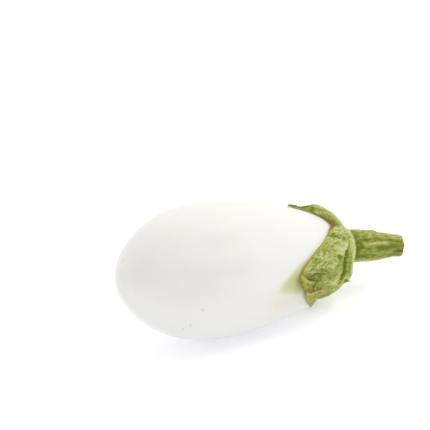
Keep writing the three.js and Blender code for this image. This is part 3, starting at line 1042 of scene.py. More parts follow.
@dataclass
class Calyx:
    """The green cap of sepals with its prickles and stem, grown as one piece, in millimetres.

    Turns are degrees from the top toward -Y, and shares run from the margin to the stem or up the stem.
    The lip is the pale rib behind the long crease, and the wedge the dried notch beside it. stem_spots
    are brown spots (turn, share, width), and the prickles stand at (turn, share).
    """

    shape: FruitShape
    gap: float = 0.3
    least_wall: float = 0.35
    cut_insets: tuple[float, ...] = (0.15, 0.4, 0.62, 0.74, 0.84, 0.92, 0.97)
    leaf_shade: float = 0.54
    edge: float = 0.75
    blade: float = 2.4
    shoulder: float = 5.2
    thickening: float = 8.0
    crown_polar: float = radians(11.8)
    curl_radius: float = 1.8
    column_step: float = 0.5
    sepal_rows: int = 76
    curl_rows: int = 10
    lining_rows: int = 10
    stem_rows: int = 44
    fold_rows: int = 34
    fold_steps: int = 60
    side_radius: float = 26.0
    noise_radius: float = 25.0
    smoothings: int = 6
    ridge_height: float = 0.7
    stem_along: float = 68.6
    stem_far: float = 1.0
    stem_above: float = 2.0
    stem_length: float = 29.1
    stem_turn: float = radians(-11.5)
    stem_drop: float = radians(8.5)
    stem_radii: tuple[float, ...] = (8.6, 8.2, 8.0, 7.6, 6.9, 6.2, 5.6, 5.2)
    stem_spots: tuple[tuple[float, float, float], ...] = (
        (74.0, 0.64, 0.5), (74.0, 0.73, 0.5), (70.0, 0.88, 0.5), (68.0, 0.24, 0.4), (38.0, 0.8, 0.6),
        (110.0, 0.7, 0.5), (200.0, 0.5, 0.6), (262.0, 0.75, 0.5), (330.0, 0.55, 0.6),
    )
    folds: tuple[Fold, ...] = (CUFF, RING, POINTED_TIP)
    crease_shares: Line = (
        (30.0, 0.74), (42.0, 0.69), (53.0, 0.64), (66.7, 0.58), (77.0, 0.55), (88.0, 0.51), (100.0, 0.42),
        (108.0, 0.32), (116.0, 0.2),
    )
    crease_depths: Line = (
        (30.0, 0.0), (42.0, 0.5), (53.0, 1.8), (66.7, 2.8), (77.0, 2.8), (88.0, 1.7), (100.0, 0.9),
        (108.0, 0.5), (116.0, 0.0),
    )
    crease_width: float = 1.05
    lip_shares: Line = (
        (0.0, 0.905), (25.0, 0.905), (41.0, 0.86), (61.0, 0.785), (79.0, 0.715), (90.0, 0.69), (115.0, 0.8),
        (140.0, 0.905), (360.0, 0.905),
    )
    wedge_shares: Line = ((0.5, 0.0), (8.0, 0.18), (13.3, 0.25), (28.5, 0.0))
    sepal_prickles: tuple[tuple[float, float], ...] = (
        (65, 0.425), (97, 0.53), (150, 0.6), (190, 0.45), (215, 0.7), (248, 0.6), (268, 0.45), (285, 0.68),
        (303, 0.35),
    )
    stem_prickles: tuple[tuple[float, float], ...] = ((109, 0.09), (185, 0.3), (235, 0.18), (290, 0.42))

    def columns(self) -> Columns:
        """Walk once round the margin in even steps.

        Returns:
            The columns, which stand evenly between the notches at the crown.
        """
        count = len(MARGIN)
        walked: list[tuple[float, ...]] = []
        notches: list[int] = []
        for i, start in enumerate(MARGIN):
            near = [MARGIN[(i + k) % count] for k in (-1, 0, 1, 2)]
            laps = [360.0 * ((i + k) // count) for k in (-1, 0, 1, 2)]
            turns = np.array([point.turn + lap for point, lap in zip(near, laps)])
            alongs = np.array([point.along for point in near])
            middle = float(self.shape.radius_at(np.array((alongs[1] + alongs[2]) / 2)))
            length = sqrt((radians(turns[2] - turns[1]) * middle) ** 2 + (alongs[2] - alongs[1]) ** 2)
            steps = max(1, round(length / self.column_step))
            if start.notch:
                notches.append(len(walked))
            for share in np.arange(steps) / steps:
                ease = smooth(0.0, 1.0, share)
                walked.append((
                    through(turns, share),
                    through(alongs, share),
                    near[1].curl + (near[2].curl - near[1].curl) * ease,
                    near[1].tail + (near[2].tail - near[1].tail) * ease,
                    length / steps,
                ))
        turn, along, curl, tail, step = np.array(walked).T
        crown = np.zeros_like(turn)
        ends = notches[1:] + [len(walked) + notches[0]]
        for start, end in zip(notches, ends):
            inside = np.arange(start, end)
            gone = np.concatenate([[0.0], np.cumsum(step[inside])])
            span = turn[end % len(walked)] + (360.0 if end >= len(walked) else 0.0) - turn[start]
            crown[inside] = turn[start] + span * gone[:-1] / gone[-1]
        angle = np.radians(crown)
        ring = 60.0 * np.stack([np.cos(angle), np.sin(angle), 0 * angle], axis=-1)
        along = along + 0.35 * grain(ring / 3.0, seed=2.0) + 0.22 * grain(ring / 1.1, seed=6.0)
        return Columns(turn, along, curl, tail, crown)

    def leaf_place(self, turn: Rings, inward: Rings, across: float, down: float) -> Rings:
        """Places for noise that run with the sepals.

        Args:
            turn: Degrees round the stem.
            inward: Millimetres from the stem down the sepal.
            across: Millimetres that a cell measures across the sepal.
            down: Millimetres that a cell measures down the sepal.

        Returns:
            Places in noise cells, without a seam.
        """
        angle = np.radians(turn)
        ring = self.noise_radius / across
        return np.stack([ring * np.cos(angle), ring * np.sin(angle), inward / down], axis=-1)

    def shoulder_height(self, turn: Rings, share: Rings) -> Rings:
        """How the cap swells over the top and low on the near side.

        Args:
            turn: Degrees round the fruit.
            share: Share of the way from the margin to the stem.

        Returns:
            Heights in millimetres.
        """
        top = around(turn, middle=350.0, width=50.0)
        low = around(turn, middle=105.0, width=28.0)
        top_swell = 1.8 * bump(0.44, 0.2, share) - 1.2 * bump(0.76, 0.14, share)
        top_swell = top_swell - 0.8 * bump(0.1, 0.14, share)
        low_swell = 1.1 * bump(0.58, 0.2, share) - 1.3 * bump(0.9, 0.1, share)
        return top * top_swell + low * low_swell

    def leaf_relief(self, turn: Rings, share: Rings, reach: Rings) -> tuple[Rings, Rings, Rings]:
        """The ribs, wrinkles, veins and dimples of the sepals.

        Args:
            turn: Degrees round the stem.
            share: Share of the way from the margin to the stem.
            reach: Millimetres from the margin to the stem.

        Returns:
            Heights in millimetres, the mask of painted shade and tone, and the mask of veins and painted
            highlights.
        """
        inward = (1.0 - share) * reach

        def place(turned: Rings, walked: Rings, across: float, down: float) -> Rings:
            """Places for one kind of wrinkle."""
            return self.leaf_place(turned, walked, across, down)

        bent = turn + 5.0 * grain(place(turn, inward, across=8.0, down=8.0), seed=1.7)
        down = inward + 0.9 * grain(place(turn, inward, across=5.0, down=5.0), seed=5.9)
        even = 1.0 - 0.75 * around(turn, middle=96.0, width=20.0) * bump(0.38, 0.2, share)
        rough = 1.0 + 0.5 * around(turn, middle=32.0, width=16.0)
        pitted = around(turn, middle=68.0, width=17.0) * (1 - smooth(0.25, 0.45, share))
        pleat = grain(place(bent, inward, across=4.5, down=14.0), seed=4.2)
        lengthwise = ridged(place(bent, down, across=1.9, down=4.6), seed=9.3, sharpness=2.4)
        crosswise = ridged(place(bent, down, across=5.0, down=1.9), seed=3.3, sharpness=2.4)
        fold = lengthwise + (crosswise - lengthwise) * smooth(0.4, 0.75, share)
        net = cells(place(bent, down, across=1.25, down=1.6), seed=2.6)
        fine = grain(place(turn, inward, across=0.7, down=0.9), seed=7.7)
        long_fold = ridged(place(bent, down, across=2.7, down=12.0), seed=6.6, sharpness=2.2)
        long_fold = long_fold * smooth(0.2, 0.35, share)
        fields = {
            Wrinkle.RIB: np.cos(np.radians(turn * 5 - 40)) * smooth(0.1, 0.5, share),
            Wrinkle.PLEAT: rough * pleat,
            Wrinkle.FOLD: rough * fold,
            Wrinkle.LONG_FOLD: long_fold,
            Wrinkle.DIMPLE: smooth(0.12, 0.5, net) * even * (1 + 0.9 * pitted),
            Wrinkle.FINE: fine * even,
            Wrinkle.WIDE: grain(place(turn, inward, across=7.0, down=7.0), seed=8.8),
            Wrinkle.PITTED: pitted,
        }
        calm = smooth(0.0, 0.08, share) * (1.0 - 0.7 * smooth(0.93, 1.0, share))
        height = calm * sum(wrinkle.height * field for wrinkle, field in fields.items())
        # Painted shade: darker where the wrinkles sink and lighter where they rise, with random tone; pale
        # veins along the net's borders and painted highlights on the folds' crests.
        hollow = self.leaf_shade + sum(wrinkle.shade * field for wrinkle, field in fields.items())
        vein = (0.32 * np.clip(1.0 - net / 0.12, 0.0, 1.0) * even + 0.32 * smooth(0.55, 0.95, fold)
                + 0.26 * smooth(0.5, 0.9, long_fold))
        return height, np.clip(hollow, 0.0, 1.0), np.clip(vein, 0.0, 1.0)

    def crease(self, turn: Rings, share: Rings, reach: Rings) -> Rings:
        """How deep the long fold beside the stem is.

        Args:
            turn: Degrees round the stem.
            share: Share of the way from the margin to the stem.
            reach: Millimetres from the margin to the stem.

        Returns:
            Depths in millimetres.
        """
        angle = turn % 360.0
        ahead = 4.0
        middle = follow(self.crease_shares, angle)
        climb = (follow(self.crease_shares, angle + ahead) - middle) * reach
        slope = climb / (radians(ahead) * self.side_radius)
        away = (share - middle) * reach / np.hypot(1.0, slope)
        ragged = 1.0 + 0.9 * grain(self.leaf_place(turn, share * reach, 1.8, 1.8), seed=8.2)
        return follow(self.crease_depths, angle, outside=0.0) * ragged * bump(0.0, self.crease_width, away)

    def features(self, columns: Columns, turn: Rings, share: Rings, reach: Rings,
                 hollow: Rings) -> dict[Feature, Rings]:
        """How strong each single feature of the cap is.

        Args:
            columns: The columns of the mesh.
            turn: Degrees round the stem.
            share: Share of the way from the margin to the stem.
            reach: Millimetres from the margin to the stem.
            hollow: The wrinkles' mask of painted shade and tone.

        Returns:
            The strengths, from 0 to 1 but for the long crease, which is in millimetres.
        """
        past_lip = share - follow(self.lip_shares, columns.crown % 360.0)
        crease = self.crease(turn, share, reach)
        wedge = follow(self.wedge_shares, columns.crown % 360.0, outside=-1.0) - share
        wedge = wedge + 0.012 * grain(self.leaf_place(turn, share * reach, 1, 1), seed=5.1)
        fringe = np.exp(-((share * reach / 2.8) ** 4))
        lit = np.maximum(around(turn, middle=56.0, width=17.0), 0.8 * around(turn, middle=359.0, width=5.0))
        return {
            Feature.LIP: bump(0.0, 0.026, past_lip) * (1 - 0.9 * around(turn, middle=100.0, width=20.0)),
            Feature.LIP_LINE: bump(-0.005, 0.02, past_lip),
            Feature.LIP_FLANK: bump(0.0, 0.04, past_lip),
            Feature.BEHIND: (around(columns.crown, middle=72.0, width=28.0) * smooth(0.01, 0.1, past_lip)
                             * (1 - smooth(0.93, 1.0, share))),
            Feature.BAND: bump(-0.08, 0.04, past_lip) * around(turn, middle=80.0, width=30.0),
            Feature.MIDRIB: (around(turn, middle=5.0, width=12.0)
                             * between(share, rise=(0.26, 0.37), fall=(0.9, 1.0))),
            Feature.POINT: (around(turn, middle=352.3, width=7.0) * (1 - smooth(0.05, 0.3, share))
                            * (1 - smooth(34.0, 38.0, columns.along))),
            Feature.RIDGE: (bump(0.0, 4.5, wrapped(turn, 60.0) + 36.0 * (share - 0.4))
                            * between(share, rise=(0.36, 0.43), fall=(0.66, 0.76))),
            Feature.WEDGE: smooth(-0.012, 0.012, wedge),
            Feature.GROOVE: (bump(0.21, 0.02, share - 0.015 * wrapped(turn, 352.0))
                             * around(turn, middle=354.0, width=7.0)),
            Feature.LONG_CREASE: crease,
            Feature.CREASE_FLOOR: np.clip(crease - 1.0, 0.0, 1.0),
            Feature.FRINGE: fringe * lit,
            Feature.PITS: (smooth(0.5, 1.0, hollow) * around(turn, middle=70.0, width=16.0)
                           * bump(0.16, 0.16, share)),
        }

    def sepals(self, columns: Columns, share: np.ndarray) -> tuple[Rings, dict[Mask, Rings]]:
        """The outside of the cap.

        Args:
            columns: The columns of the mesh.
            share: Share of the way from the margin to the stem for each ring.

        Returns:
            The rings and their masks.
        """
        share = share[:, None]
        edge_polar = np.arccos(columns.along / self.shape.half_length)
        polar = edge_polar + (self.crown_polar - edge_polar) * share
        reach = (edge_polar - self.crown_polar) * (self.shape.half_length + self.shape.radius) / 2
        reach = np.broadcast_to(reach, polar.shape)
        turn = columns.turn + (columns.crown - columns.turn) * share
        relief, hollow, vein = self.leaf_relief(turn, share + 0 * turn, reach)
        features = self.features(columns, turn, share, reach, hollow)

        def total(part: str) -> Rings:
            """What the features add to one part of the cap's look."""
            return sum(getattr(feature.value, part) * field for feature, field in features.items())

        def spared(part: str) -> Rings:
            """The share that the features leave of one part."""
            return np.prod([1 - getattr(feature.value, part) * field + 0 * turn
                            for feature, field in features.items()], axis=0)

        ridge = self.ridge_height * features[Feature.RIDGE]
        relief = (relief * (1 - ridge) + ridge) * spared("calm")
        thick = self.edge + (self.blade - self.edge) * (1 - np.exp(-share * reach / self.thickening))
        crown = (self.shoulder - self.blade) * smooth(0.45, 0.9, share)
        height = self.gap + thick + crown + self.shoulder_height(turn, share) + relief + total("height")
        skin = self.shape.on_skin(polar, turn, np.maximum(height, self.gap + self.least_wall))
        round_foot = columns.crown + 0 * turn
        foot = self.stem_place(0 * turn, round_foot, self.stem_radius(0 * turn, round_foot)[0])
        rings = skin + (foot - skin) * 0.5 * smooth(0.82, 1.0, share)[..., None]
        dryness, breadth = self.dryness(columns)
        ragged = 1.0 + 0.45 * grain(rings / 1.7, seed=3.0)
        dried = np.exp(-((share * reach / ((0.3 + 3.0 * breadth) * ragged)) ** 4))
        fringe = features[Feature.FRINGE]
        return rings, {
            Mask.EDGE: np.maximum(dried * dryness, features[Feature.WEDGE]),
            Mask.HOLLOW: np.clip(hollow * spared("plain") + total("dark"), 0.0, 1.0),
            Mask.VEIN: np.clip(vein * (1 - fringe) + total("pale"), 0.0, 1.0),
            Mask.LINING: 0.75 * fringe,
            Mask.YOUNG: np.clip(total("young"), 0.0, 1.0),
        }

    @staticmethod
    def dryness(columns: Columns) -> tuple[Rings, Rings]:
        """How brown and how broad the dried margin is.

        Args:
            columns: The columns of the mesh.

        Returns:
            The brownness and the breadth of each column, from 0 to 1.
        """
        breadth = np.maximum(0.15 * around(columns.turn, middle=16.0, width=15.0),
                             smooth(50.5, 53.0, columns.along))
        tip = smooth(343.0, 349.0, columns.turn) * (1 - smooth(38.0, 45.0, columns.along))
        near = 1 - smooth(37.0, 44.0, columns.along)
        return (0.95 - 0.3 * near) * (1 - tip), breadth

    def edges(self, columns: Columns, lift: float, walk: np.ndarray) -> Rings:
        """The blade past the margin, rolled outward and then straight.

        Args:
            columns: The columns of the mesh.
            lift: Millimetres of this face above the lining.
            walk: Share of the way out for each ring.

        Returns:
            The rings.
        """
        polar = np.arccos(columns.along / self.shape.half_length)
        here = self.shape.on_skin(polar, columns.turn, np.full_like(polar, self.gap))
        outward = self.shape.on_skin(polar, columns.turn, np.full_like(polar, self.gap + 1)) - here
        smooth_line = here.copy()
        for _ in range(self.smoothings):
            smooth_line = (np.roll(smooth_line, 1, 0) + smooth_line + np.roll(smooth_line, -1, 0)) / 3
        tangent = np.roll(smooth_line, -1, 0) - np.roll(smooth_line, 1, 0)
        onward = np.cross(tangent, outward)
        onward /= np.linalg.norm(onward, axis=-1)[:, None]
        arc = self.curl_radius * np.radians(columns.curl)
        walked = walk[:, None] * (arc + columns.tail)
        turned = np.minimum(walked, arc) / self.curl_radius
        past = np.maximum(walked - arc, 0.0)
        radius = self.curl_radius - lift
        ahead = radius * np.sin(turned) + past * np.cos(turned)
        rise = self.curl_radius - radius * np.cos(turned) + past * np.sin(turned)
        return here + onward * ahead[..., None] + outward * rise[..., None]

    def lining(self, columns: Columns, share: np.ndarray) -> Rings:
        """The inside of the cap, against the fruit.

        Args:
            columns: The columns of the mesh.
            share: Share of the way from the margin to the fruit's end for each ring.

        Returns:
            The rings.
        """
        share = share[:, None]
        edge_polar = np.arccos(columns.along / self.shape.half_length)
        polar = edge_polar + (0.06 - edge_polar) * share
        turn = columns.turn + (columns.crown - columns.turn) * share
        return self.shape.on_skin(polar, turn, np.full_like(turn, self.gap))

    def stem_direction(self) -> np.ndarray:
        """The way the stem points."""
        return np.array([
            cos(self.stem_drop) * cos(self.stem_turn),
            cos(self.stem_drop) * sin(self.stem_turn),
            -sin(self.stem_drop),
        ])

    def stem_place(self, share: Rings, turn: Rings, radius: Rings) -> Rings:
        """Places round the stem.

        Args:
            share: Share of the way up the stem.
            turn: Degrees round it.
            radius: Millimetres from its middle.

        Returns:
            Points in millimetres.
        """
        share, turn, radius = np.broadcast_arrays(share, turn, radius)
        shape = self.shape
        foot = (shape.middle() + shape.along * self.stem_along - shape.near * self.stem_far
                + shape.above * self.stem_above)
        direction = self.stem_direction()
        bend = smooth(-0.3, 0.35, share)[..., None]
        heading = shape.along + (direction - shape.along) * bend
        heading /= np.linalg.norm(heading, axis=-1)[..., None]
        across = shape.near - heading * (heading @ shape.near)[..., None]
        across /= np.linalg.norm(across, axis=-1)[..., None]
        upward = -np.cross(heading, across)
        angle = np.radians(turn)[..., None]
        spoke = upward * np.cos(angle) + across * np.sin(angle)
        return foot + direction * (share * self.stem_length)[..., None] + spoke * radius[..., None]

    def stem_radius(self, share: Rings, turn: Rings) -> tuple[Rings, Rings]:
        """The stem's ribbed and knotted surface.

        Args:
            share: Share of the way up the stem.
            turn: Degrees round it.

        Returns:
            Radii in millimetres and the mask of painted shade and tone.
        """
        stations = np.linspace(0.0, 1.0, len(self.stem_radii))
        radius = np.interp(share, stations, self.stem_radii)
        angle = np.radians(turn)
        ring = np.stack([np.cos(angle), np.sin(angle), 0 * angle], axis=-1)
        up = np.stack([0 * share, 0 * share, share * self.stem_length], axis=-1)
        ridge = ridged(ring * 2.3 + up * 0.07, seed=3.3, sharpness=2.0)
        knot = grain(ring * 3.4 + up * 0.26, seed=6.1)
        fine = grain(ring * 9.0 + up * 0.5, seed=1.9)
        rib = np.cos(np.radians(turn * 5 + 50 * share))
        start = smooth(0.0, 0.12, share)
        raised, sunken, _ = self.stem_marks(share, turn)
        # Painted highlight along the top of the stem, and a lighter stripe low on its near side.
        pale = (0.55 * around(turn, middle=348.0, width=26.0) + 0.5 * around(turn, middle=138.0, width=16.0))
        radius = radius + (0.3 * rib + 0.6 * ridge + 0.55 * knot + 0.2 * fine) * start - 0.25
        radius = radius + 0.35 * raised - 0.4 * sunken - 0.6 * smooth(0.94, 1.0, share) ** 2
        # Painted shade: darker in the grooves, the sunken groove and at the stem's foot, lighter on the
        # ridges, knots and the raised ridge, with random tone.
        hollow = 0.82 - 0.3 * ridge - 0.32 * knot - 0.38 * fine + 0.2 * (1 - start)
        return radius, np.clip(hollow + 0.3 * sunken - 0.4 * raised - pale, 0.0, 1.0)

    def stem_marks(self, share: Rings, turn: Rings) -> tuple[Rings, Rings, Rings]:
        """The long ridge, the groove above it and the brown marks on the stem's near side.

        Args:
            share: Share of the way up the stem.
            turn: Degrees round it.

        Returns:
            How raised, how sunken and how brown each place is, from 0 to 1.
        """
        aside = wrapped(turn, 55.0) - 3.0 * np.sin(9.0 * share) - 6.0 * share
        raised = bump(0.0, 5.0, aside) * between(share, rise=(0.15, 0.3), fall=(0.6, 0.75))
        sunken = bump(-16.0, 4.0, aside) * between(share, rise=(0.03, 0.1), fall=(0.5, 0.7))
        brown = 0.9 * bump(8.0, 2.2, aside) * between(share, rise=(0.2, 0.3), fall=(0.5, 0.62))
        for middle, place, size in self.stem_spots:
            away = np.hypot(np.radians(wrapped(turn, middle)) * 7.0, (share - place) * self.stem_length)
            brown = np.maximum(brown, bump(0.0, size, away))
        return raised, sunken, brown

    def stem(self, columns: Columns) -> tuple[Rings, dict[Mask, Rings]]:
        """The cut end and the ribbed side of the stem, from the end down to the calyx.

        Args:
            columns: The columns of the mesh.

        Returns:
            The rings and their masks.
        """
        turn = columns.crown[None, :]
        one = np.ones_like(turn)
        inset = np.array(self.cut_insets)[:, None]
        rim, _ = self.stem_radius(one, turn)
        sunk = 0.35 * (1 - smooth(0.62, 0.8, inset)) + 0.5 * smooth(0.9, 1.0, inset) ** 2
        spoke = 6.0 * inset
        rough = 0.12 * grain(np.stack([spoke * np.cos(np.radians(turn)), spoke * np.sin(np.radians(turn)),
                                       0 * turn * inset], -1), seed=4.4)
        face = self.stem_place(1 - (sunk + rough) / self.stem_length, turn, rim * inset)
        share = np.concatenate([[0.995, 0.985], np.linspace(0.97, 0.0, self.stem_rows) ** 1.15])[:, None]
        around_stem = turn + 0 * share
        radius, hollow = self.stem_radius(share + 0 * turn, around_stem)
        raised, _, brown = self.stem_marks(share + 0 * turn, around_stem)
        rounding = np.array([0.28, 0.08] + [0.0] * self.stem_rows)[:, None]
        side = self.stem_place(share, turn, radius - rounding)
        masks = {
            Mask.CUT: np.vstack([(1 - smooth(0.62, 0.78, inset)) * one, 0 * share * one]),
            Mask.STEM: np.vstack([one * (inset > 0), smooth(0.02, 0.12, share) * one]),
            Mask.HOLLOW: np.vstack([0.5 * inset * one, hollow]),
            Mask.EDGE: np.vstack([0.8 * smooth(0.6, 0.8, inset) * one,
                                  np.maximum(0.6 * smooth(0.965, 0.995, share) * one, 0.5 * brown)]),
            # Paler on the ridges and the raised ridge: painted highlight.
            Mask.VEIN: np.vstack([0 * inset * one, 0.25 * (1 - hollow) + 0.3 * raised]),
        }
        return np.vstack([face, side]), masks

    def cap(self, columns: Columns) -> bpy.types.Object:
        """The whole cap and stem as one closed skin.

        Args:
            columns: The columns of the mesh.

        Returns:
            The cap's object.
        """
        stem, stem_masks = self.stem(columns)
        sepals, sepal_masks = self.sepals(columns, np.linspace(1.0, 0.0, self.sepal_rows) ** 0.9)
        out = np.linspace(0.0, 1.0, self.curl_rows + 1)[1:]
        outside = self.edges(columns, self.edge, out)
        inside = self.edges(columns, 0.0, out[::-1])
        lining = self.lining(columns, np.linspace(0.0, 1.0, self.lining_rows) ** 1.3)
        rolled = np.clip(columns.curl / 60.0 + columns.tail, 0.0, 1.0)[None, :]
        dryness, breadth = self.dryness(columns)
        rim = dryness * (0.45 + 0.5 * breadth) * (1 - rolled)
        tip = 0.85 * smooth(0.75, 1.0, out)[:, None] * rolled
        outside_masks = {Mask.HOLLOW: 0.4, Mask.EDGE: np.maximum(rim, tip)}
        inside_masks = {Mask.EDGE: np.maximum(rim, tip[::-1]), Mask.LINING: rolled}
        strips = ((stem, stem_masks), (sepals, sepal_masks), (outside, outside_masks), (inside, inside_masks),
                  (lining, {Mask.LINING: 1.0}))
        masks = {}
        for mask in CALYX_MASKS:
            layers = [found.get(mask, 0.0) + np.zeros(rings.shape[:2]) for rings, found in strips]
            masks[mask] = np.concatenate(layers)
        first = self.stem_place(np.array([1 - 0.35 / self.stem_length]), np.zeros(1), np.zeros(1))[0]
        last = self.shape.on_skin(np.array([0.0001]), np.zeros(1), np.array([self.gap]))[0]
        return closed_mesh("calyx_cap", np.concatenate([rings for rings, _ in strips]), first, last, masks)

    def prickle(self, root: np.ndarray, out: np.ndarray, lean: np.ndarray, number: int) -> bpy.types.Object:
        """One prickle with a broad green foot and a bent straw-coloured point.

        Args:
            root: Where it grows, in millimetres.
            out: The way straight off the surface.
            lean: The way it bends.
            number: Its number, which varies its size.

        Returns:
            The prickle's object.
        """
        form = PrickleForm()
        share = np.linspace(0.0, 1.0, form.steps)[:, None]
        length = form.length + form.length_spread * sin(number * 2.3)
        radius = form.foot * bump(0.0, form.foot_share, share) + form.stalk * (1 - share) + form.point
        centre = root + out * (np.sqrt(share) * form.rise - form.sunk) + lean * ((share - 0.25) * length)
        side = np.cross(out, lean)
        side /= np.linalg.norm(side)
        other = np.cross(side, out)
        angle = np.linspace(0, 2 * pi, form.sides, endpoint=False)
        spokes = np.cos(angle)[:, None] * side + np.sin(angle)[:, None] * other
        rings = centre[:, None, :] + spokes[None] * radius[..., None]
        found = {Mask.EDGE: 0.6 * smooth(0.8, 1.0, share), Mask.HOLLOW: 0.85, Mask.YOUNG: 0.6,
                 Mask.STRAW: smooth(0.6, 0.75, share)}
        masks = {mask: found.get(mask, 0.0) + np.zeros((form.steps, form.sides)) for mask in CALYX_MASKS}
        return closed_mesh(f"prickle_{number}", rings, centre[0], centre[-1], masks)

    def prickles(self, columns: Columns) -> list[bpy.types.Object]:
        """Every prickle of the sepals and the stem.

        Args:
            columns: The columns of the mesh.

        Returns:
            The prickles' objects.
        """
        made = []
        direction = self.stem_direction()
        for turn, share in self.sepal_prickles:
            nearest = int(np.abs(wrapped(columns.crown, turn)).argmin())
            rings, _ = self.sepals(columns, np.array([share]))
            out = self.shape.radial(columns.turn[nearest:nearest + 1])[0]
            made.append(self.prickle(rings[0, nearest], out, self.shape.along, len(made)))
        for turn, share in self.stem_prickles:
            here, angle = np.array([share]), np.array([float(turn)])
            radius, _ = self.stem_radius(here, angle)
            root = self.stem_place(here, angle, radius)[0]
            out = root - self.stem_place(here, angle, 0 * radius)[0]
            made.append(self.prickle(root, out / np.linalg.norm(out), direction, len(made)))
        return made

    @staticmethod
    def spread(points: Rings, count: int) -> Rings:
        """A smooth run of places through a few.

        Args:
            points: The places along the first axis.
            count: How many places to make of them.

        Returns:
            The places, which pass through the given ones.
        """
        padded = np.concatenate([[2 * points[0] - points[1]], points, [2 * points[-1] - points[-2]]])
        walk = np.linspace(0.0, len(points) - 1.0, count)
        step = np.minimum(walk.astype(int), len(points) - 2)
        share = (walk - step).reshape((-1,) + (1,) * (points.ndim - 1))
        return through(tuple(padded[step + k] for k in range(4)), share)

    def folded(self, fold: Fold) -> bpy.types.Object:
        """Build one fold of the nearest sepal's tip as a thin closed blade.

        Args:
            fold: The fold.

        Returns:
            The fold's object.
        """
        turn, along, height = np.moveaxis(np.array(fold.rows), -1, 0)
        points = self.shape.on_skin(np.arccos(along / self.shape.half_length), turn, height)
        rows, steps = self.fold_rows, self.fold_steps
        face = np.swapaxes(self.spread(np.swapaxes(self.spread(points, rows), 0, 1), steps), 0, 1)
        normal = np.cross(np.gradient(face, axis=0), np.gradient(face, axis=1))
        normal /= np.linalg.norm(normal, axis=-1)[..., None] + 1e-9
        outward = self.shape.radial(np.array([90.0]))[0]
        if (normal @ outward).mean() < 0:
            normal = -normal
        down = np.linspace(0.0, 1.0, rows)[:, None] * np.ones((1, steps))
        over = np.linspace(0.0, 1.0, steps)[None, :] * np.ones((rows, 1))
        uneven = 0.1 * grain(face / 1.1, seed=2.2) + 0.05 * grain(face / 0.5, seed=6.4)
        face = face + normal * uneven[..., None]
        wall = fold.wall * (0.25 + 0.75 * smooth(0.0, 0.12, down)) * (0.4 + 0.6 * smooth(0.0, 0.1, 1 - over))
        back = face - normal * wall[..., None]
        rings = np.swapaxes(np.concatenate([face, back[::-1]]), 0, 1)
        return closed_mesh(fold.name, rings, rings[0].mean(0), rings[-1].mean(0),
                           self.fold_masks(fold, face, down, over))

    @staticmethod
    def fold_masks(fold: Fold, face: Rings, down: Rings, over: Rings) -> dict[Mask, Rings]:
        """How a fold is coloured.

        Args:
            fold: The fold.
            face: The points of its outer face.
            down: Share of the way down the rows at each point.
            over: Share of the way along the row at each point.

        Returns:
            The masks of both faces, in the order of the fold's rings.
        """
        rows, steps = down.shape
        bruise = np.zeros_like(down)
        for across, below, width in fold.bruises:
            spot = face[int(below * (rows - 1)), int(across * (steps - 1))]
            bruise = np.maximum(bruise, 1.1 * bump(0.0, width, np.linalg.norm(face - spot, axis=-1)))
        rim = fold.dried * bump(fold.rim_at, fold.rim_width, down)
        end = fold.end_dried * smooth(0.88, 1.0, down)
        dried = np.clip(np.maximum(np.maximum(rim, bruise), end), 0.0, 1.0)
        # Painted highlight: a pale line along the fold just past its dried rim.
        crest_highlight = 0.5 * bump(fold.rim_at + 0.12, 0.06, down) * (1 - dried)
        base, lower, later = fold.shade
        # Painted shade growing down the rows and along them, with random tone and the brown bruises.
        shade = base + lower * down + later * over + 0.5 * grain(face / 2.0, seed=4.0) + bruise
        faces = {
            Mask.VEIN: (crest_highlight, 0.0),
            Mask.EDGE: (dried, rim),
            Mask.LINING: (fold.lining, 0.3),
            Mask.HOLLOW: (np.clip(shade, 0.0, 1.0), 0.5),
        }
        masks = {}
        for mask in CALYX_MASKS:
            top, bottom = faces.get(mask, (0.0, 0.0))
            masks[mask] = np.concatenate([top + 0 * down, (bottom + 0 * down)[::-1]]).T
        return masks

    def build(self) -> bpy.types.Object:
        """Build the cap, its prickles and the folds of its nearest tip as one object.

        Returns:
            The calyx's object.
        """
        columns = self.columns()
        parts = [self.cap(columns), *map(self.folded, self.folds)]
        parts += self.prickles(columns)
        LOG.info("calyx: %d columns, %d faces", len(columns.turn), len(parts[0].data.polygons))
        return joined("calyx_with_stem", parts)

    def dress(self, piece: bpy.types.Object) -> None:
        """Give the calyx its finish and join it to the frame.

        Args:
            piece: The calyx's object.
        """
        piece.data.materials.clear()
        piece.data.materials.append(CalyxFinish().material())
        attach(piece, "root")
        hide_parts(Node.CALYX.value)


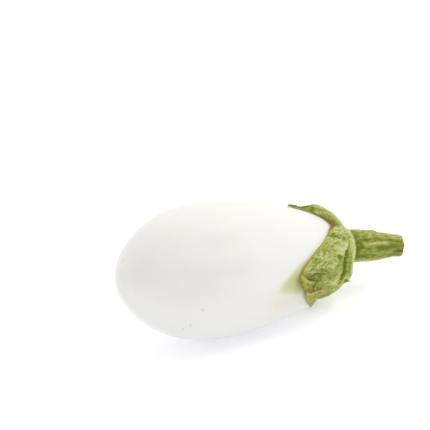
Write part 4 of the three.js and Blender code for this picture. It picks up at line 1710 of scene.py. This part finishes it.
@dataclass(frozen=True)
class Studio:
    """A white floor and soft light from above."""

    floor_size: float = 6.0
    sky: float = 0.93
    dim_sky: float = 0.38
    dim_side: tuple[float, float, float] = (0.0, -0.97, -0.05)
    key_power: float = 3.9
    key_size: float = 0.6
    key_place: tuple[float, float, float] = (0.55, -0.24, 0.88)

    def build(self) -> None:
        """Lay the floor, hang the lights and set how colours are shown."""
        bpy.ops.mesh.primitive_plane_add(size=self.floor_size)
        floor = bpy.context.object
        floor.name = "studio_floor"
        floor.data.materials.append(FloorFinish().material())
        world = bpy.data.worlds.new("studio_sky")
        world.use_nodes = True
        background = world.node_tree.nodes["Background"]
        background.inputs["Color"].default_value = (1.0, 1.0, 1.0, 1.0)
        self.shade_sky(world.node_tree, background)
        bpy.context.scene.world = world
        self.lamp("key", self.key_place, self.key_power, self.key_size)
        bpy.context.scene.view_settings.view_transform = "Standard"

    def shade_sky(self, tree: bpy.types.NodeTree, background: bpy.types.Node) -> None:
        """Make the sky dimmer on the side that the fruit is seen from.

        Args:
            tree: The sky's nodes.
            background: The sky's own node.
        """
        place = tree.nodes.new("ShaderNodeTexCoord")
        toward = tree.nodes.new("ShaderNodeVectorMath")
        toward.operation = "DOT_PRODUCT"
        toward.inputs[1].default_value = self.dim_side
        level = tree.nodes.new("ShaderNodeMapRange")
        level.interpolation_type = "SMOOTHSTEP"
        level.inputs["From Min"].default_value = 0.0
        level.inputs["From Max"].default_value = 1.0
        level.inputs["To Min"].default_value = self.sky
        level.inputs["To Max"].default_value = self.dim_sky
        tree.links.new(place.outputs["Generated"], toward.inputs[0])
        tree.links.new(toward.outputs["Value"], level.inputs["Value"])
        tree.links.new(level.outputs["Result"], background.inputs["Strength"])

    def lamp(self, name: str, place: tuple[float, float, float], power: float, size: float) -> None:
        """Hang a square soft light that looks at the fruit.

        Args:
            name: The light's name.
            place: Where it hangs, in metres.
            power: Its power in watts.
            size: The length of its sides in metres.
        """
        data = bpy.data.lights.new(name, "AREA")
        data.energy = power
        data.size = size
        lamp = bpy.data.objects.new(name, data)
        lamp.visible_glossy = False
        lamp.location = place
        lamp.rotation_euler = (-Vector(place)).to_track_quat("-Z", "Y").to_euler()
        bpy.context.scene.collection.objects.link(lamp)


@dataclass(frozen=True)
class Viewpoint:
    """The camera: a long lens that looks down on the fruit from its near side."""

    shape: FruitShape
    azimuth: float = radians(26.02)
    elevation: float = radians(28)
    distance: float = 0.8
    frame_width: float = 0.215
    fruit_right: float = 0.00847
    fruit_up: float = -0.0257
    sensor: float = 36.0

    def build(self) -> None:
        """Place the camera."""
        turn = Matrix.Rotation(-self.azimuth, 3, "Z")
        right = turn @ Vector((1.0, 0.0, 0.0))
        up = turn @ Vector((0.0, sin(self.elevation), cos(self.elevation)))
        forward = turn @ Vector((0.0, cos(self.elevation), -sin(self.elevation)))
        data = bpy.data.cameras.new("camera")
        data.sensor_width = self.sensor
        data.lens = self.sensor * self.distance / self.frame_width
        data.clip_start = 0.05
        camera = bpy.data.objects.new("camera", data)
        middle = Vector(self.shape.middle() * MM)
        eye = middle - right * self.fruit_right - up * self.fruit_up - forward * self.distance
        axes = Matrix((right, up, -forward)).transposed().to_4x4()
        camera.matrix_world = Matrix.Translation(eye) @ axes
        bpy.context.scene.collection.objects.link(camera)
        bpy.context.scene.camera = camera


def main() -> None:
    """Build, dress and light the eggplant."""
    logging.basicConfig(level=logging.INFO, format="%(name)s: %(message)s")
    shape = FruitShape()
    fruit = Fruit(shape)
    pieces = fruit.build()
    fruit.dress(pieces)
    LOG.info("fruit: %d faces", len(pieces[0].data.polygons))
    calyx = Calyx(shape)
    calyx.dress(calyx.build())
    Studio().build()
    Viewpoint(shape).build()


if __name__ == "__main__":
    main()
